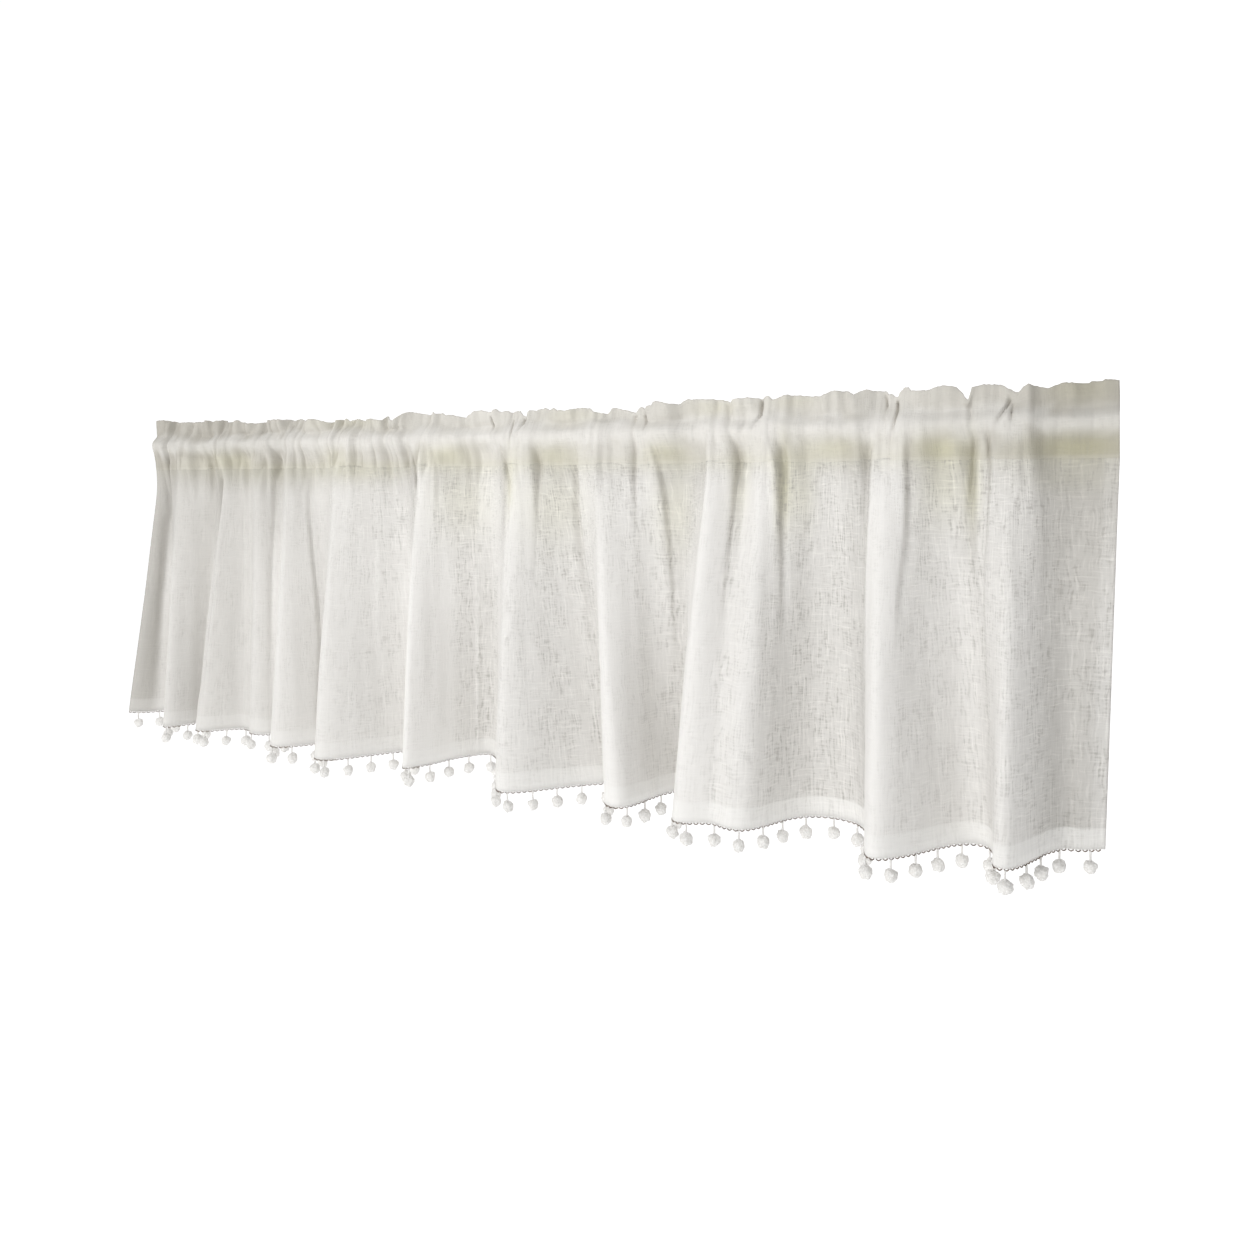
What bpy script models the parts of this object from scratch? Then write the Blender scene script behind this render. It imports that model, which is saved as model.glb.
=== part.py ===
# Short gathered curtain: a frilled heading with a rod pocket, one folded panel and a pompom trim on its hem.
# Metres, +Z up. +X runs along the rod, the front faces -Y, and the origin is the middle of the top edge.
import math
from collections import namedtuple

import bmesh
import bpy
from mathutils import Vector

MM = 0.001

# Driving sizes
DROP = 450 * MM              # top of the frill to the bottom of the hem
HEADING = 75 * MM            # frill, pocket and band together
CLOTH = 1.3 * MM             # one layer, with its slubs
PARTING = 0.4 * MM           # gap between pieces that are sewn together

# Gathers where the cloth is pushed together on the rod
RIDGE_AT_ROD = -9 * MM       # how far a fold's ridge stands forward at the lower stitch line
VALLEY_AT_ROD = 7 * MM
PLEAT_DEPTH = 6 * MM
PLEAT_FADES = 0.3            # share of the panel's height in which the small pleats run out
EARLY_OPENING = 0.3          # share of a fold's depth that it gains soon under the heading
RIDGE_GATHERS = 1.5          # above 1, more of the cloth is gathered near each ridge than in the valleys
NOTCH = 5 * MM               # dip of the frill's edge where pleats pinch it

# Trim
TRIM_HEIGHT = 3.4 * MM
TRIM_THICK = 1.6 * MM
POMPOM = 12.5 * MM
POMPOM_DROP = 17 * MM        # hem to the middle of a pompom
POMPOM_PITCH = 29.5 * MM     # along the hem
POMPOM_GAP = 0.8 * MM        # least room between two pompoms
THREAD = 1.4 * MM
PUSHES = 60                  # rounds in which pompoms that touch push each other apart

# How finely each piece is divided
PANEL_ROWS = (0, 0.05, 0.12, 0.22, 0.36, 0.56, 0.8, 1)
VALLEY_STEPS = 3             # columns between a ridge's pleats and the valley beside them
HEM_FINENESS = 4             # the trim's line has this many points for each of the panel's columns

# One row for each fold, from the left end of the rod to the right, in millimetres. A fold is a ridge that
# stands forward and the valley on its right. top_x is its place on the rod, and x and y its place at the hem.
# in and out are how far its bend there reaches to the left and to the right: long ones tuck the cloth under
# the ridge. pleats and pitch are the narrow gathers pinched into the ridge at the heading, and dip is how
# much lower the frill's edge runs there.
Fold = namedtuple(
    "Fold",
    "ridge_top_x ridge_x ridge_y ridge_in ridge_out pleats pitch dip "
    "valley_top_x valley_x valley_y valley_in valley_out",
)
FOLDS = [
    Fold(-592, -612, -18, 12, 14, 3, 11, 5, -535, -578, 26, 9, 9),
    Fold(-503, -546, -14, 18, 18, 3, 10, 5, -468, -494, 23, 14, 20),
    Fold(-438, -458, 6, 22, 12, 2, 10, 5, -411, -419, 23, 12, 12),
    Fold(-380, -380, -34, 26, 20, 3, 9, 5, -342, -326, 15, 14, 16),
    Fold(-288, -280, -58, 30, 24, 4, 11, 5, -196, -194, 30, 26, 22),
    Fold(-158, -157, -42, 18, 18, 2, 12, 3, -64, -97, 60, 34, 30),
    Fold(-17, 7, -72, 24, 22, 4, 9, 6, 56, 107, 12, 26, 22),
    Fold(99, 148, -66, 34, 20, 3, 10, 7, 192, 191, 20, 20, 20),
    Fold(243, 228, -82, 24, 16, 2, 10, 2, 270, 262, -70, 10, 8),
    Fold(300, 287, -78, 10, 34, 3, 10, 3, 364, 371, 4, 54, 64),
    Fold(429, 434, -98, 28, 22, 3, 9, 3, 492, 517, -15, 26, 30),
    Fold(548, 545, -72, 20, 18, 4, 11, 2, 606, 600, 10, 22, 12),
]

# The two side edges of the cloth, and the back turn beside the left one. rise is how much higher the hem is.
Edge = namedtuple("Edge", "top_x x y rise inward outward")
LEFT_EDGE = Edge(-641, -719, 7, 7, 0, 18)
LEFT_TURN = Edge(-626, -666, 48, 4, 24, 24)
RIGHT_EDGE = Edge(642, 630, 23, 0, 8, 0)

# The heading's section, from the frill's edge down to the lower stitch line, in millimetres. A row is one
# depth under the top edge: half the cloth's depth from front to back there, and how much of the folds and of
# the small pleats its front and its back take part in. Below 0, the frill bulges forward between the ridges.
Level = namedtuple("Level", "down half folds front_pleats back_pleats")
FRILL_EDGE = Level(0, 1.3, -0.7, 1.3, 1.3)
HEADING_LEVELS = [
    Level(16, 1.3, -0.4, 1, 1),
    Level(27, 1.7, 0.3, 0.6, 0.6),
    Level(32.5, 10.1, 0.1, 0.5, -0.2),
    Level(40, 12.6, 0, 0.4, -0.2),
    Level(48, 9.8, 0.2, 0.5, -0.2),
    Level(58, 2.1, 0.7, 0.8, 0.8),
    Level(74.8, 1.3, 1, 1, 1),
]

# The open pocket inside it: half its width from front to back at each depth, in millimetres
Hollow = namedtuple("Hollow", "down half front_pleats")
POCKET_LEVELS = [
    Hollow(30.6, 5.3, 0.25),
    Hollow(34.2, 10.3, 0.25),
    Hollow(43, 11, 0.25),
    Hollow(51.5, 3.8, 0.25),
]

# A pompom's lock: each ring's width and its height over the middle, as shares of the pompom
Ring = namedtuple("Ring", "width height")
POMPOM_RINGS = [Ring(0.11, 0.56), Ring(0.66, 0.4), Ring(1, 0.02), Ring(0.7, -0.4), Ring(0.24, -0.56)]

# A crest is any ridge, valley or edge: its place on the rod and at the hem, and its bend's reach on each side
Crest = namedtuple("Crest", "top_x top_y x y left_reach right_reach rise")


def crests():
    """Every crest of the cloth from the left edge to the right, in metres."""
    found = []
    for edge in (LEFT_EDGE, LEFT_TURN):
        found.append(Crest(edge.top_x, 0, edge.x, edge.y, edge.inward, edge.outward, edge.rise))
    ridge_y, valley_y = RIDGE_AT_ROD / MM, VALLEY_AT_ROD / MM
    for fold in FOLDS:
        ridge = (fold.ridge_top_x, ridge_y, fold.ridge_x, fold.ridge_y, fold.ridge_in, fold.ridge_out, 0)
        found.append(Crest(*ridge))
        reaches = (fold.valley_in, fold.valley_out)
        found.append(Crest(fold.valley_top_x, valley_y, fold.valley_x, fold.valley_y, *reaches, 0))
    edge = RIGHT_EDGE
    found.append(Crest(edge.top_x, 0, edge.x, edge.y, edge.inward, edge.outward, edge.rise))
    return [Crest(*(value * MM for value in crest)) for crest in found]


def mix(a, b, share):
    return a + (b - a) * share


def smooth(share):
    """0 to 1 with level ends."""
    return share * share * (3 - 2 * share)


def pleat_depth(x):
    """How far the small pleats at the heading stand forward at this place on the rod."""
    depth = 0
    for fold in FOLDS:
        pitch = fold.pitch * MM
        half_width = fold.pleats * pitch / 2
        away = x - fold.ridge_top_x * MM
        if abs(away) < half_width:
            turn = 2 * math.pi * (away + half_width) / pitch
            depth += PLEAT_DEPTH * (0.5 - 0.5 * math.cos(turn))
    return depth


def rod_line(x, line):
    """The cloth's depth along Y at the lower stitch line, without the small pleats."""
    for left, right in zip(line, line[1:]):
        if left.top_x <= x <= right.top_x:
            share = (x - left.top_x) / (right.top_x - left.top_x)
            return mix(left.top_y, right.top_y, smooth(share))
    return line[-1].top_y


def frill_dip(x):
    """How far the frill's edge lies under the top edge at this place on the rod."""
    places = [(fold.ridge_top_x * MM, fold.dip * MM) for fold in FOLDS]
    dip = places[0][1] if x < places[0][0] else places[-1][1]
    for (left, left_dip), (right, right_dip) in zip(places, places[1:]):
        if left <= x <= right:
            dip = mix(left_dip, right_dip, smooth((x - left) / (right - left)))
    for fold in FOLDS:
        away = abs(x - fold.ridge_top_x * MM) / (fold.pitch * MM)
        if away < 1:
            dip += NOTCH * (1 - smooth(away))
    return dip


def stations(line, valley_steps):
    """Places along the rod for columns of points: each pleat's crest and trough, and a few in each valley."""
    places = [line[0].top_x, mix(line[0].top_x, line[1].top_x, 0.5), line[1].top_x]
    reach = line[1].top_x
    for fold, ridge, valley in zip(FOLDS, line[2::2], line[3::2]):
        half_pitch = fold.pitch * MM / 2
        first = ridge.top_x - fold.pleats * half_pitch
        if first - reach > 2 * half_pitch:
            places.append(mix(reach, first, 0.5))
        for step in range(2 * fold.pleats + 1):
            places.append(first + step * half_pitch)
        last = places[-1]
        for step in range(1, valley_steps + 1):
            places.append(mix(last, valley.top_x, step / valley_steps))
        reach = valley.top_x
    places.append(mix(reach, line[-1].top_x, 0.5))
    places.append(line[-1].top_x)
    return places


def bend(left, right, share):
    """A point of the hem's curve between two crests, as a cubic that leaves both of them along X."""
    start, end = Vector((left.x, left.y)), Vector((right.x, right.y))
    near = start + Vector((left.right_reach, 0))
    far = end - Vector((right.left_reach, 0))
    rest = 1 - share
    return start * rest**3 + near * (3 * share * rest**2) + far * (3 * share**2 * rest) + end * share**3


def hem_share(left_is_ridge, share):
    """Where a place on the rod, as a share of the way between two crests, lies along the hem's curve."""
    if left_is_ridge:
        return share ** (1 / RIDGE_GATHERS)
    return 1 - (1 - share) ** (1 / RIDGE_GATHERS)


def opening(down):
    """How deep the folds have grown at this share of the panel's height, starting off upright."""
    return mix(down, 1 - (1 - down) ** 4 * (1 + 4 * down), EARLY_OPENING)


def panel_point(x, down, line):
    """The panel's surface at a place on the rod and a share of the way from the stitch line to the hem."""
    for index, (left, right) in enumerate(zip(line, line[1:])):
        if x <= right.top_x or right is line[-1]:
            break
    share = min(1, max(0, (x - left.top_x) / (right.top_x - left.top_x)))
    hem = bend(left, right, hem_share(left.top_y < right.top_y, share))
    pleats = pleat_depth(x) * max(0, 1 - down / PLEAT_FADES) ** 2
    depth = mix(rod_line(x, line), hem.y, opening(down)) - pleats
    top = -HEADING - PARTING / 2
    rise = mix(left.rise, right.rise, share)
    return Vector((mix(x, hem.x, down), depth, mix(top, -DROP + rise, down)))


def hem_line(line):
    """The hem's curve as closely spaced points."""
    places = stations(line, VALLEY_STEPS)
    fine = []
    for left, right in zip(places, places[1:]):
        fine += [mix(left, right, step / HEM_FINENESS) for step in range(HEM_FINENESS)]
    fine.append(places[-1])
    return [panel_point(x, 1, line) for x in fine]


def walk(points, lengths):
    """Points of a polyline at the given lengths along it, each with the line's direction there."""
    found = []
    travelled = 0
    index = 0
    for wanted in lengths:
        while index < len(points) - 2 and travelled + (points[index + 1] - points[index]).length < wanted:
            travelled += (points[index + 1] - points[index]).length
            index += 1
        step = points[index + 1] - points[index]
        share = min(1, max(0, (wanted - travelled) / step.length))
        found.append((points[index].lerp(points[index + 1], share), step.normalized()))
    return found


def line_length(points):
    return sum((b - a).length for a, b in zip(points, points[1:]))


def material(name, colour, roughness):
    made = bpy.data.materials.new(name)
    made.use_nodes = True
    shader = made.node_tree.nodes["Principled BSDF"]
    shader.inputs["Base Color"].default_value = (*colour, 1)
    shader.inputs["Roughness"].default_value = roughness
    shader.inputs["Metallic"].default_value = 0
    return made


def add_object(name, mesh_edit, collection, finish):
    """A named object from an edited mesh, in the curtain's collection."""
    mesh = bpy.data.meshes.new(name)
    mesh_edit.to_mesh(mesh)
    mesh_edit.free()
    mesh.materials.append(finish)
    mesh.shade_smooth()
    made = bpy.data.objects.new(name, mesh)
    collection.objects.link(made)
    return made


def join_rings(mesh_edit, rings):
    """Side faces between closed rings of the same number of points.

    Each ring runs down the front and up the back, and both are split along the same diagonal, so that the two
    sides of a thin twisted wall never cross.
    """
    for ring, following in zip(rings, rings[1:]):
        for index in range(len(ring)):
            after = (index + 1) % len(ring)
            a, b, c, d = ring[index], ring[after], following[after], following[index]
            if index < len(ring) / 2:
                mesh_edit.faces.new((a, b, c))
                mesh_edit.faces.new((a, c, d))
            else:
                mesh_edit.faces.new((a, b, d))
                mesh_edit.faces.new((b, c, d))


def heading_section(x, line):
    """The heading's outer ring and the pocket's inner ring, at one place along the rod."""
    body = rod_line(x, line)
    pleats = pleat_depth(x)
    levels = [FRILL_EDGE._replace(down=frill_dip(x) / MM)] + HEADING_LEVELS
    front, back = [], []
    for level in levels:
        middle = body * level.folds
        half, height = level.half * MM, -level.down * MM
        front.append(Vector((x, middle - half - pleats * level.front_pleats, height)))
        back.append(Vector((x, middle + half - pleats * level.back_pleats, height)))
    pocket_front, pocket_back = [], []
    for level in POCKET_LEVELS:
        half, height = level.half * MM, -level.down * MM
        pocket_front.append(Vector((x, -half - pleats * level.front_pleats, height)))
        pocket_back.append(Vector((x, half, height)))
    return front + back[::-1], pocket_front + pocket_back[::-1]


def make_heading(line, collection, finish):
    """The frill, the open rod pocket and the doubled band, lofted along the rod."""
    mesh_edit = bmesh.new()
    outer_rings, inner_rings = [], []
    for x in stations(line, VALLEY_STEPS - 1):
        outer, inner = heading_section(x, line)
        outer_rings.append([mesh_edit.verts.new(point) for point in outer])
        inner_rings.append([mesh_edit.verts.new(point) for point in inner])
    join_rings(mesh_edit, outer_rings)
    join_rings(mesh_edit, [ring[::-1] for ring in inner_rings])
    for end in (0, -1):
        border = []
        for ring in (outer_rings[end], inner_rings[end]):
            for a, b in zip(ring, ring[1:] + ring[:1]):
                border.append(mesh_edit.edges.get((a, b)))
        bmesh.ops.triangle_fill(mesh_edit, edges=border, use_beauty=True)
    bmesh.ops.recalc_face_normals(mesh_edit, faces=mesh_edit.faces)
    return add_object("heading", mesh_edit, collection, finish)


def make_panel(line, collection, finish):
    """The folded skirt: a grid shaped to the folds, given its cloth's thickness."""
    places = stations(line, VALLEY_STEPS)
    mesh_edit = bmesh.new()
    grid = [[mesh_edit.verts.new(panel_point(x, down, line)) for x in places] for down in PANEL_ROWS]
    for row, lower in zip(grid, grid[1:]):
        for index in range(len(places) - 1):
            mesh_edit.faces.new((row[index], lower[index], lower[index + 1], row[index + 1]))
    panel = add_object("panel", mesh_edit, collection, finish)
    solid = panel.modifiers.new("Cloth", "SOLIDIFY")
    solid.thickness = CLOTH
    solid.offset = 0
    return panel


def pompom_places(line):
    """The pompoms' roots along the hem, the hem's direction at each, and their middles, pushed apart."""
    hem = hem_line(line)
    length = line_length(hem)
    count = round(length / POMPOM_PITCH)
    pitch = length / count
    roots = walk(hem, [pitch * (index + 0.5) for index in range(count)])
    middles = [root - Vector((0, 0, POMPOM_DROP)) for root, _ in roots]
    room = POMPOM + POMPOM_GAP
    for _ in range(PUSHES):
        for index, middle in enumerate(middles):
            for other in middles[index + 1:]:
                apart = other - middle
                if apart.length < room:
                    push = apart.normalized() * ((room - apart.length) / 2)
                    other += push
                    middle -= push
    return roots, middles


def make_trim(line, collection, finish):
    """The edging along the hem, with each thread and four-sided pompom drawn out of its underside."""
    hem = hem_line(line)
    length = line_length(hem)
    roots, middles = pompom_places(line)
    pitch = length / len(roots)
    lengths = [0]
    for index in range(len(roots)):
        middle = pitch * (index + 0.5)
        lengths += [middle - THREAD / 2, middle + THREAD / 2, min(length, middle + pitch / 2)]
    mesh_edit = bmesh.new()
    rings = []
    for point, direction in walk(hem, lengths):
        across = Vector((direction.y, -direction.x, 0)).normalized() * (TRIM_THICK / 2)
        top = point - Vector((0, 0, PARTING))
        low = top - Vector((0, 0, TRIM_HEIGHT))
        corners = (top + across, top - across, low - across, low + across)
        rings.append([mesh_edit.verts.new(corner) for corner in corners])
    join_rings(mesh_edit, rings)
    mesh_edit.faces.new(rings[0][::-1])
    mesh_edit.faces.new(rings[-1])
    for index, middle in enumerate(middles):
        left, right = rings[3 * index + 1], rings[3 * index + 2]
        root = (left[2], left[3], right[3], right[2])
        underside = [face for corner in root for face in corner.link_faces if set(face.verts) <= set(root)]
        for face in set(underside):
            mesh_edit.faces.remove(face)
        direction = roots[index][1]
        along = Vector((direction.x, direction.y, 0)).normalized()
        across = Vector((along.y, -along.x, 0))
        lock = [list(root)]
        sides = [-along - across, -along + across, along + across, along - across]
        for ring in POMPOM_RINGS:
            centre = middle + Vector((0, 0, POMPOM * ring.height))
            half = POMPOM * ring.width / 2
            lock.append([mesh_edit.verts.new(centre + side.normalized() * half) for side in sides])
        join_rings(mesh_edit, lock)
        mesh_edit.faces.new(lock[-1])
    bmesh.ops.recalc_face_normals(mesh_edit, faces=mesh_edit.faces)
    return add_object("pompom_trim", mesh_edit, collection, finish)


def main():
    for old in list(bpy.data.objects):
        bpy.data.objects.remove(old)
    collection = bpy.data.collections.new("Short curtain")
    bpy.context.scene.collection.children.link(collection)
    line = crests()
    doubled_cloth = material("Doubled cloth", (0.74, 0.73, 0.64), 0.9)
    single_cloth = material("Single cloth", (0.8, 0.79, 0.75), 0.92)
    white_yarn = material("White yarn", (0.86, 0.85, 0.83), 0.95)
    make_heading(line, collection, doubled_cloth)
    make_panel(line, collection, single_cloth)
    make_trim(line, collection, white_yarn)


main()
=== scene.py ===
# Looks of the short gathered curtain: a frilled heading with a rod pocket, one folded panel and a pompom
# trim. Metres, +Z up. +X runs along the rod, the front faces -Y, and the origin is the middle of the
# frill's top edge.
import math
from collections import namedtuple

import bpy
import numpy as np
from mathutils import Matrix, Vector, noise

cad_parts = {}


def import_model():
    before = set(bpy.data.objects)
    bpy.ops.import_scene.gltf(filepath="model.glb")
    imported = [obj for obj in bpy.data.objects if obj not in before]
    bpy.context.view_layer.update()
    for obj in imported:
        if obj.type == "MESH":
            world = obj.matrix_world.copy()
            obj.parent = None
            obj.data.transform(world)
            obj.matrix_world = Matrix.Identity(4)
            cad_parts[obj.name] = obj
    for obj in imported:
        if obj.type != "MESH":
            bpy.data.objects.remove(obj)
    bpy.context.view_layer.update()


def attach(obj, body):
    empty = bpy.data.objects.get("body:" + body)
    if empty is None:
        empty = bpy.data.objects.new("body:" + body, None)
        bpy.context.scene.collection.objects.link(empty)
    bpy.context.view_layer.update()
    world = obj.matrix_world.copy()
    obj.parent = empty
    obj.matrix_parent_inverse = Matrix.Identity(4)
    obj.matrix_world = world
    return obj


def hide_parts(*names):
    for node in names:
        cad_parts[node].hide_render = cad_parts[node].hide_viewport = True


MM = 0.001

# Sizes shared with the solids
DROP = 450 * MM
HEADING = 75 * MM            # frill, pocket and band together
FRILL_DOWN = 27              # depth of the frill's stitch line in millimetres
SEAM_DOWN = 75               # and of the heading's lower edge
SEWN = 2.6 * MM              # thickness of the solids where their two layers are sewn together
RIDGE_AT_ROD = -9 * MM       # where the folds' ridges stand along Y at the heading's lower edge
VALLEY_AT_ROD = 7 * MM       # and their valleys
EARLY_OPENING = 0.3          # share of a fold's depth that it gains soon under the heading
RIDGE_GATHERS = 1.5          # above 1, more of the hem comes from the ridges than from the valleys
POMPOM_DROP = 17 * MM        # from the hem's edge to a pompom's middle
POMPOM_PITCH = 29.5 * MM
POMPOM_GAP = 0.8 * MM        # between two pompoms that meet
PUSHES = 60                  # rounds in which they are pushed apart

# Cloth
LAYER = 0.8 * MM             # thickness of one layer
LAYERS_APART = 1.7 * MM      # between the middles of the heading's two layers where they are sewn together
SEAM_SINKS = 0.75 * MM       # how far each layer's lower edge is drawn in at the seam
TUCKED = 2.6 * MM            # how far the panel's top edge runs up between the heading's layers
PLEAT_DEPTH = 1.3 * MM       # of the fine pleats in each gather
SHARP_PLEATS = 0.15          # 0 gives pleats with round troughs, 1 gives tight slits between them
PLEAT_FADES = 0.16           # share of the panel's height in which pleats and gathers run out
HEM = 20 * MM
SIDE_HEM = 15 * MM
WAVES = 1.6 * MM             # unevenness of the hanging cloth
FRILL_WAVE = 4.5 * MM        # how far the frill's edge wanders from front to back
RAGGED = 1.0 * MM            # unevenness of the frill's edge
GATHER_DEPTH = 11 * MM       # of the uneven gathers between the pleats
PUCKERS = 26 * MM            # of the heading's back, where most of the fullness is taken up
TIGHT_PUCKERS = 12 * MM      # of its front, dense at the left end
POCKET_SWELL = 0.9 * MM      # unevenness of the rod pocket's bulge
CREASE_STARTS = 8            # millimetres in which a crease begins above its first point
CREASE_ENDS = 30             # and in which it runs out under its last one
WAVES_IN = 8                 # the waves are whole one eighth of the way down the panel
TURNED_IN = 3                # and the relief stands square to the folds a third of the way down

# Trim
POMPOM = 13.2 * MM           # a ball's width before it is shaped
POMPOM_LENGTH = 1.2          # its height as a share of its width
THREAD = 2.3 * MM
THREAD_TOP = 2.2 * MM        # from the hem's edge to a thread's upper end
THREAD_IN = 0.44 * POMPOM    # from a pompom's middle to the thread's lower end
THREAD_BOW = 5 * MM          # 4 times how far a thread's middle may stand aside
CORD_RADIUS = 0.5 * MM       # of the edging's cord, and as far under the hem's edge
LOOP_RADIUS = 0.62 * MM
LOOP_START = 1.1 * MM        # from the hem's edge to the loops' ends
LOOP_DROP = 1.6 * MM         # how far each loop hangs under its ends
EDGING_STEP = 0.8 * MM
LOOP_PITCH = 6.6 * MM
LOOP_SHARE = 0.75            # of the pitch that each loop takes up
THREAD_SHARES = (0, 0.25, 0.5, 0.75, 1)
POMPOM_KINDS = 5

# Finishes: linear colours of the yarn in each place
SINGLE_CLOTH = (0.8, 0.785, 0.76)
# The colour at the deepest tone: painted shade on the sheer cloth
SHADED_SHEER_CLOTH = (0.46, 0.445, 0.415)
DOUBLED_CLOTH = (0.72, 0.7, 0.655)
# Shade colours: the painted shade that the tones blend towards
DOUBLED_SHADE = (0.43, 0.41, 0.365)
# Painted highlight: the pocket's bulge is coloured lighter than the band
POCKET_HIGHLIGHT = (0.76, 0.74, 0.705)
POCKET_SHADE = (0.57, 0.555, 0.52)
TURNED_CLOTH = (0.82, 0.81, 0.785)
# The warm cast of doubled cloth, partly painted olive shade
IVORY_CAST_AND_SHADE = (0.93, 0.925, 0.76)  # multiplies the cloth's colour
# Pinholes are painted shade: the dark seen through the weave's gaps
PINHOLE_SHADE = (0.34, 0.325, 0.3)
DEEPEST_TONE = 1.7           # the tone that gives a cloth's full shade
COTTON = (0.88, 0.875, 0.86)
COTTON_SHADE = (0.74, 0.725, 0.7)
# The edging's dark brown loops are painted shade under the braid
EDGING = (0.25, 0.185, 0.145)
EDGING_SHADE = (0.12, 0.09, 0.07)

# Stage: the floor's height and glow, the light from all round, the lamps' places, sizes and watts, what they
# point at, and the camera's place, turn in degrees, lens and shift
FLOOR = -1.5
FLOOR_GLOW = 0.55
AMBIENT = 0.42
LAMPS = [
    ("window_light", (-0.7, -2.4, 1.1), (1.6, 1.6), 48),
    ("fill_light", (1.6, -2.6, 0.2), (1.6, 1.6), 4),
]
LAMPS_AIM = (0, 0, -0.2)
CAMERA_PLACE = (0.630, -1.046, -0.106)
CAMERA_TURN = (90, 0, 25.84)
CAMERA_LENS = 29
CAMERA_SHIFT = -0.1047

# How finely each sheet is divided
PANEL_COLUMNS = 780
PANEL_ROWS = 60
UPPER_PART = 0.3                # share of the panel's height whose rows lie closer together
UPPER_ROWS = 0.45               # share of the rows that are in it
HEADING_COLUMNS = 780
COLUMNS_FOLLOW = (15, 65, 100)  # depths in millimetres whose creases draw the columns together
COLUMNS_AT_ROD = 2.2            # how much more the path at the rod counts for them than the hem's

# Folds, from the left end of the rod to the right, in millimetres, as in the solids
Fold = namedtuple(
    "Fold",
    "ridge_top_x ridge_x ridge_y ridge_in ridge_out pleats pitch "
    "valley_top_x valley_x valley_y valley_in valley_out",
)
FOLDS = [
    Fold(-592, -612, -18, 12, 14, 3, 11, -535, -578, 26, 9, 9),
    Fold(-503, -546, -14, 18, 18, 3, 10, -468, -494, 23, 14, 20),
    Fold(-438, -458, 6, 22, 12, 2, 10, -411, -419, 23, 12, 12),
    Fold(-380, -380, -34, 26, 20, 3, 9, -342, -326, 15, 14, 16),
    Fold(-288, -280, -58, 30, 24, 4, 11, -196, -194, 30, 26, 22),
    Fold(-158, -157, -42, 18, 18, 2, 12, -64, -97, 60, 34, 30),
    Fold(-17, 7, -72, 24, 22, 4, 9, 56, 107, 12, 26, 22),
    Fold(99, 148, -66, 34, 20, 3, 10, 192, 191, 20, 20, 20),
    Fold(243, 228, -82, 24, 16, 2, 10, 270, 262, -70, 10, 8),
    Fold(300, 287, -78, 10, 34, 3, 10, 364, 371, 4, 54, 64),
    Fold(429, 434, -98, 28, 22, 3, 9, 492, 517, -15, 26, 30),
    Fold(548, 545, -72, 20, 18, 4, 11, 606, 600, 10, 22, 12),
]
Edge = namedtuple("Edge", "top_x x y rise inward outward")
LEFT_EDGE = Edge(-641, -719, 7, 7, 0, 18)
LEFT_TURN = Edge(-626, -666, 48, 4, 24, 24)
RIGHT_EDGE = Edge(642, 630, 23, 0, 8, 0)
Crest = namedtuple("Crest", "top_x top_y x y left_reach right_reach rise")

# Narrow slits where the heading's cloth is pinched between gathers, in millimetres: the place on the rod,
# half the width and the depth
Pinch = namedtuple("Pinch", "x width depth")
PINCHES = [
    Pinch(-616, 6, 3.5),
    Pinch(-563, 7, 3),
    Pinch(-537, 5, 4),
    Pinch(-470, 6, 3.5),
    Pinch(-412, 7, 3),
    Pinch(-357, 6, 4),
    Pinch(-320, 7, 3),
    Pinch(-247, 7, 3),
    Pinch(-214, 5, 4.5),
    Pinch(-182, 6, 3),
    Pinch(-118, 8, 3),
    Pinch(208, 8, 2),
    Pinch(345, 9, 2),
    Pinch(590, 8, 2),
]

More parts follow.
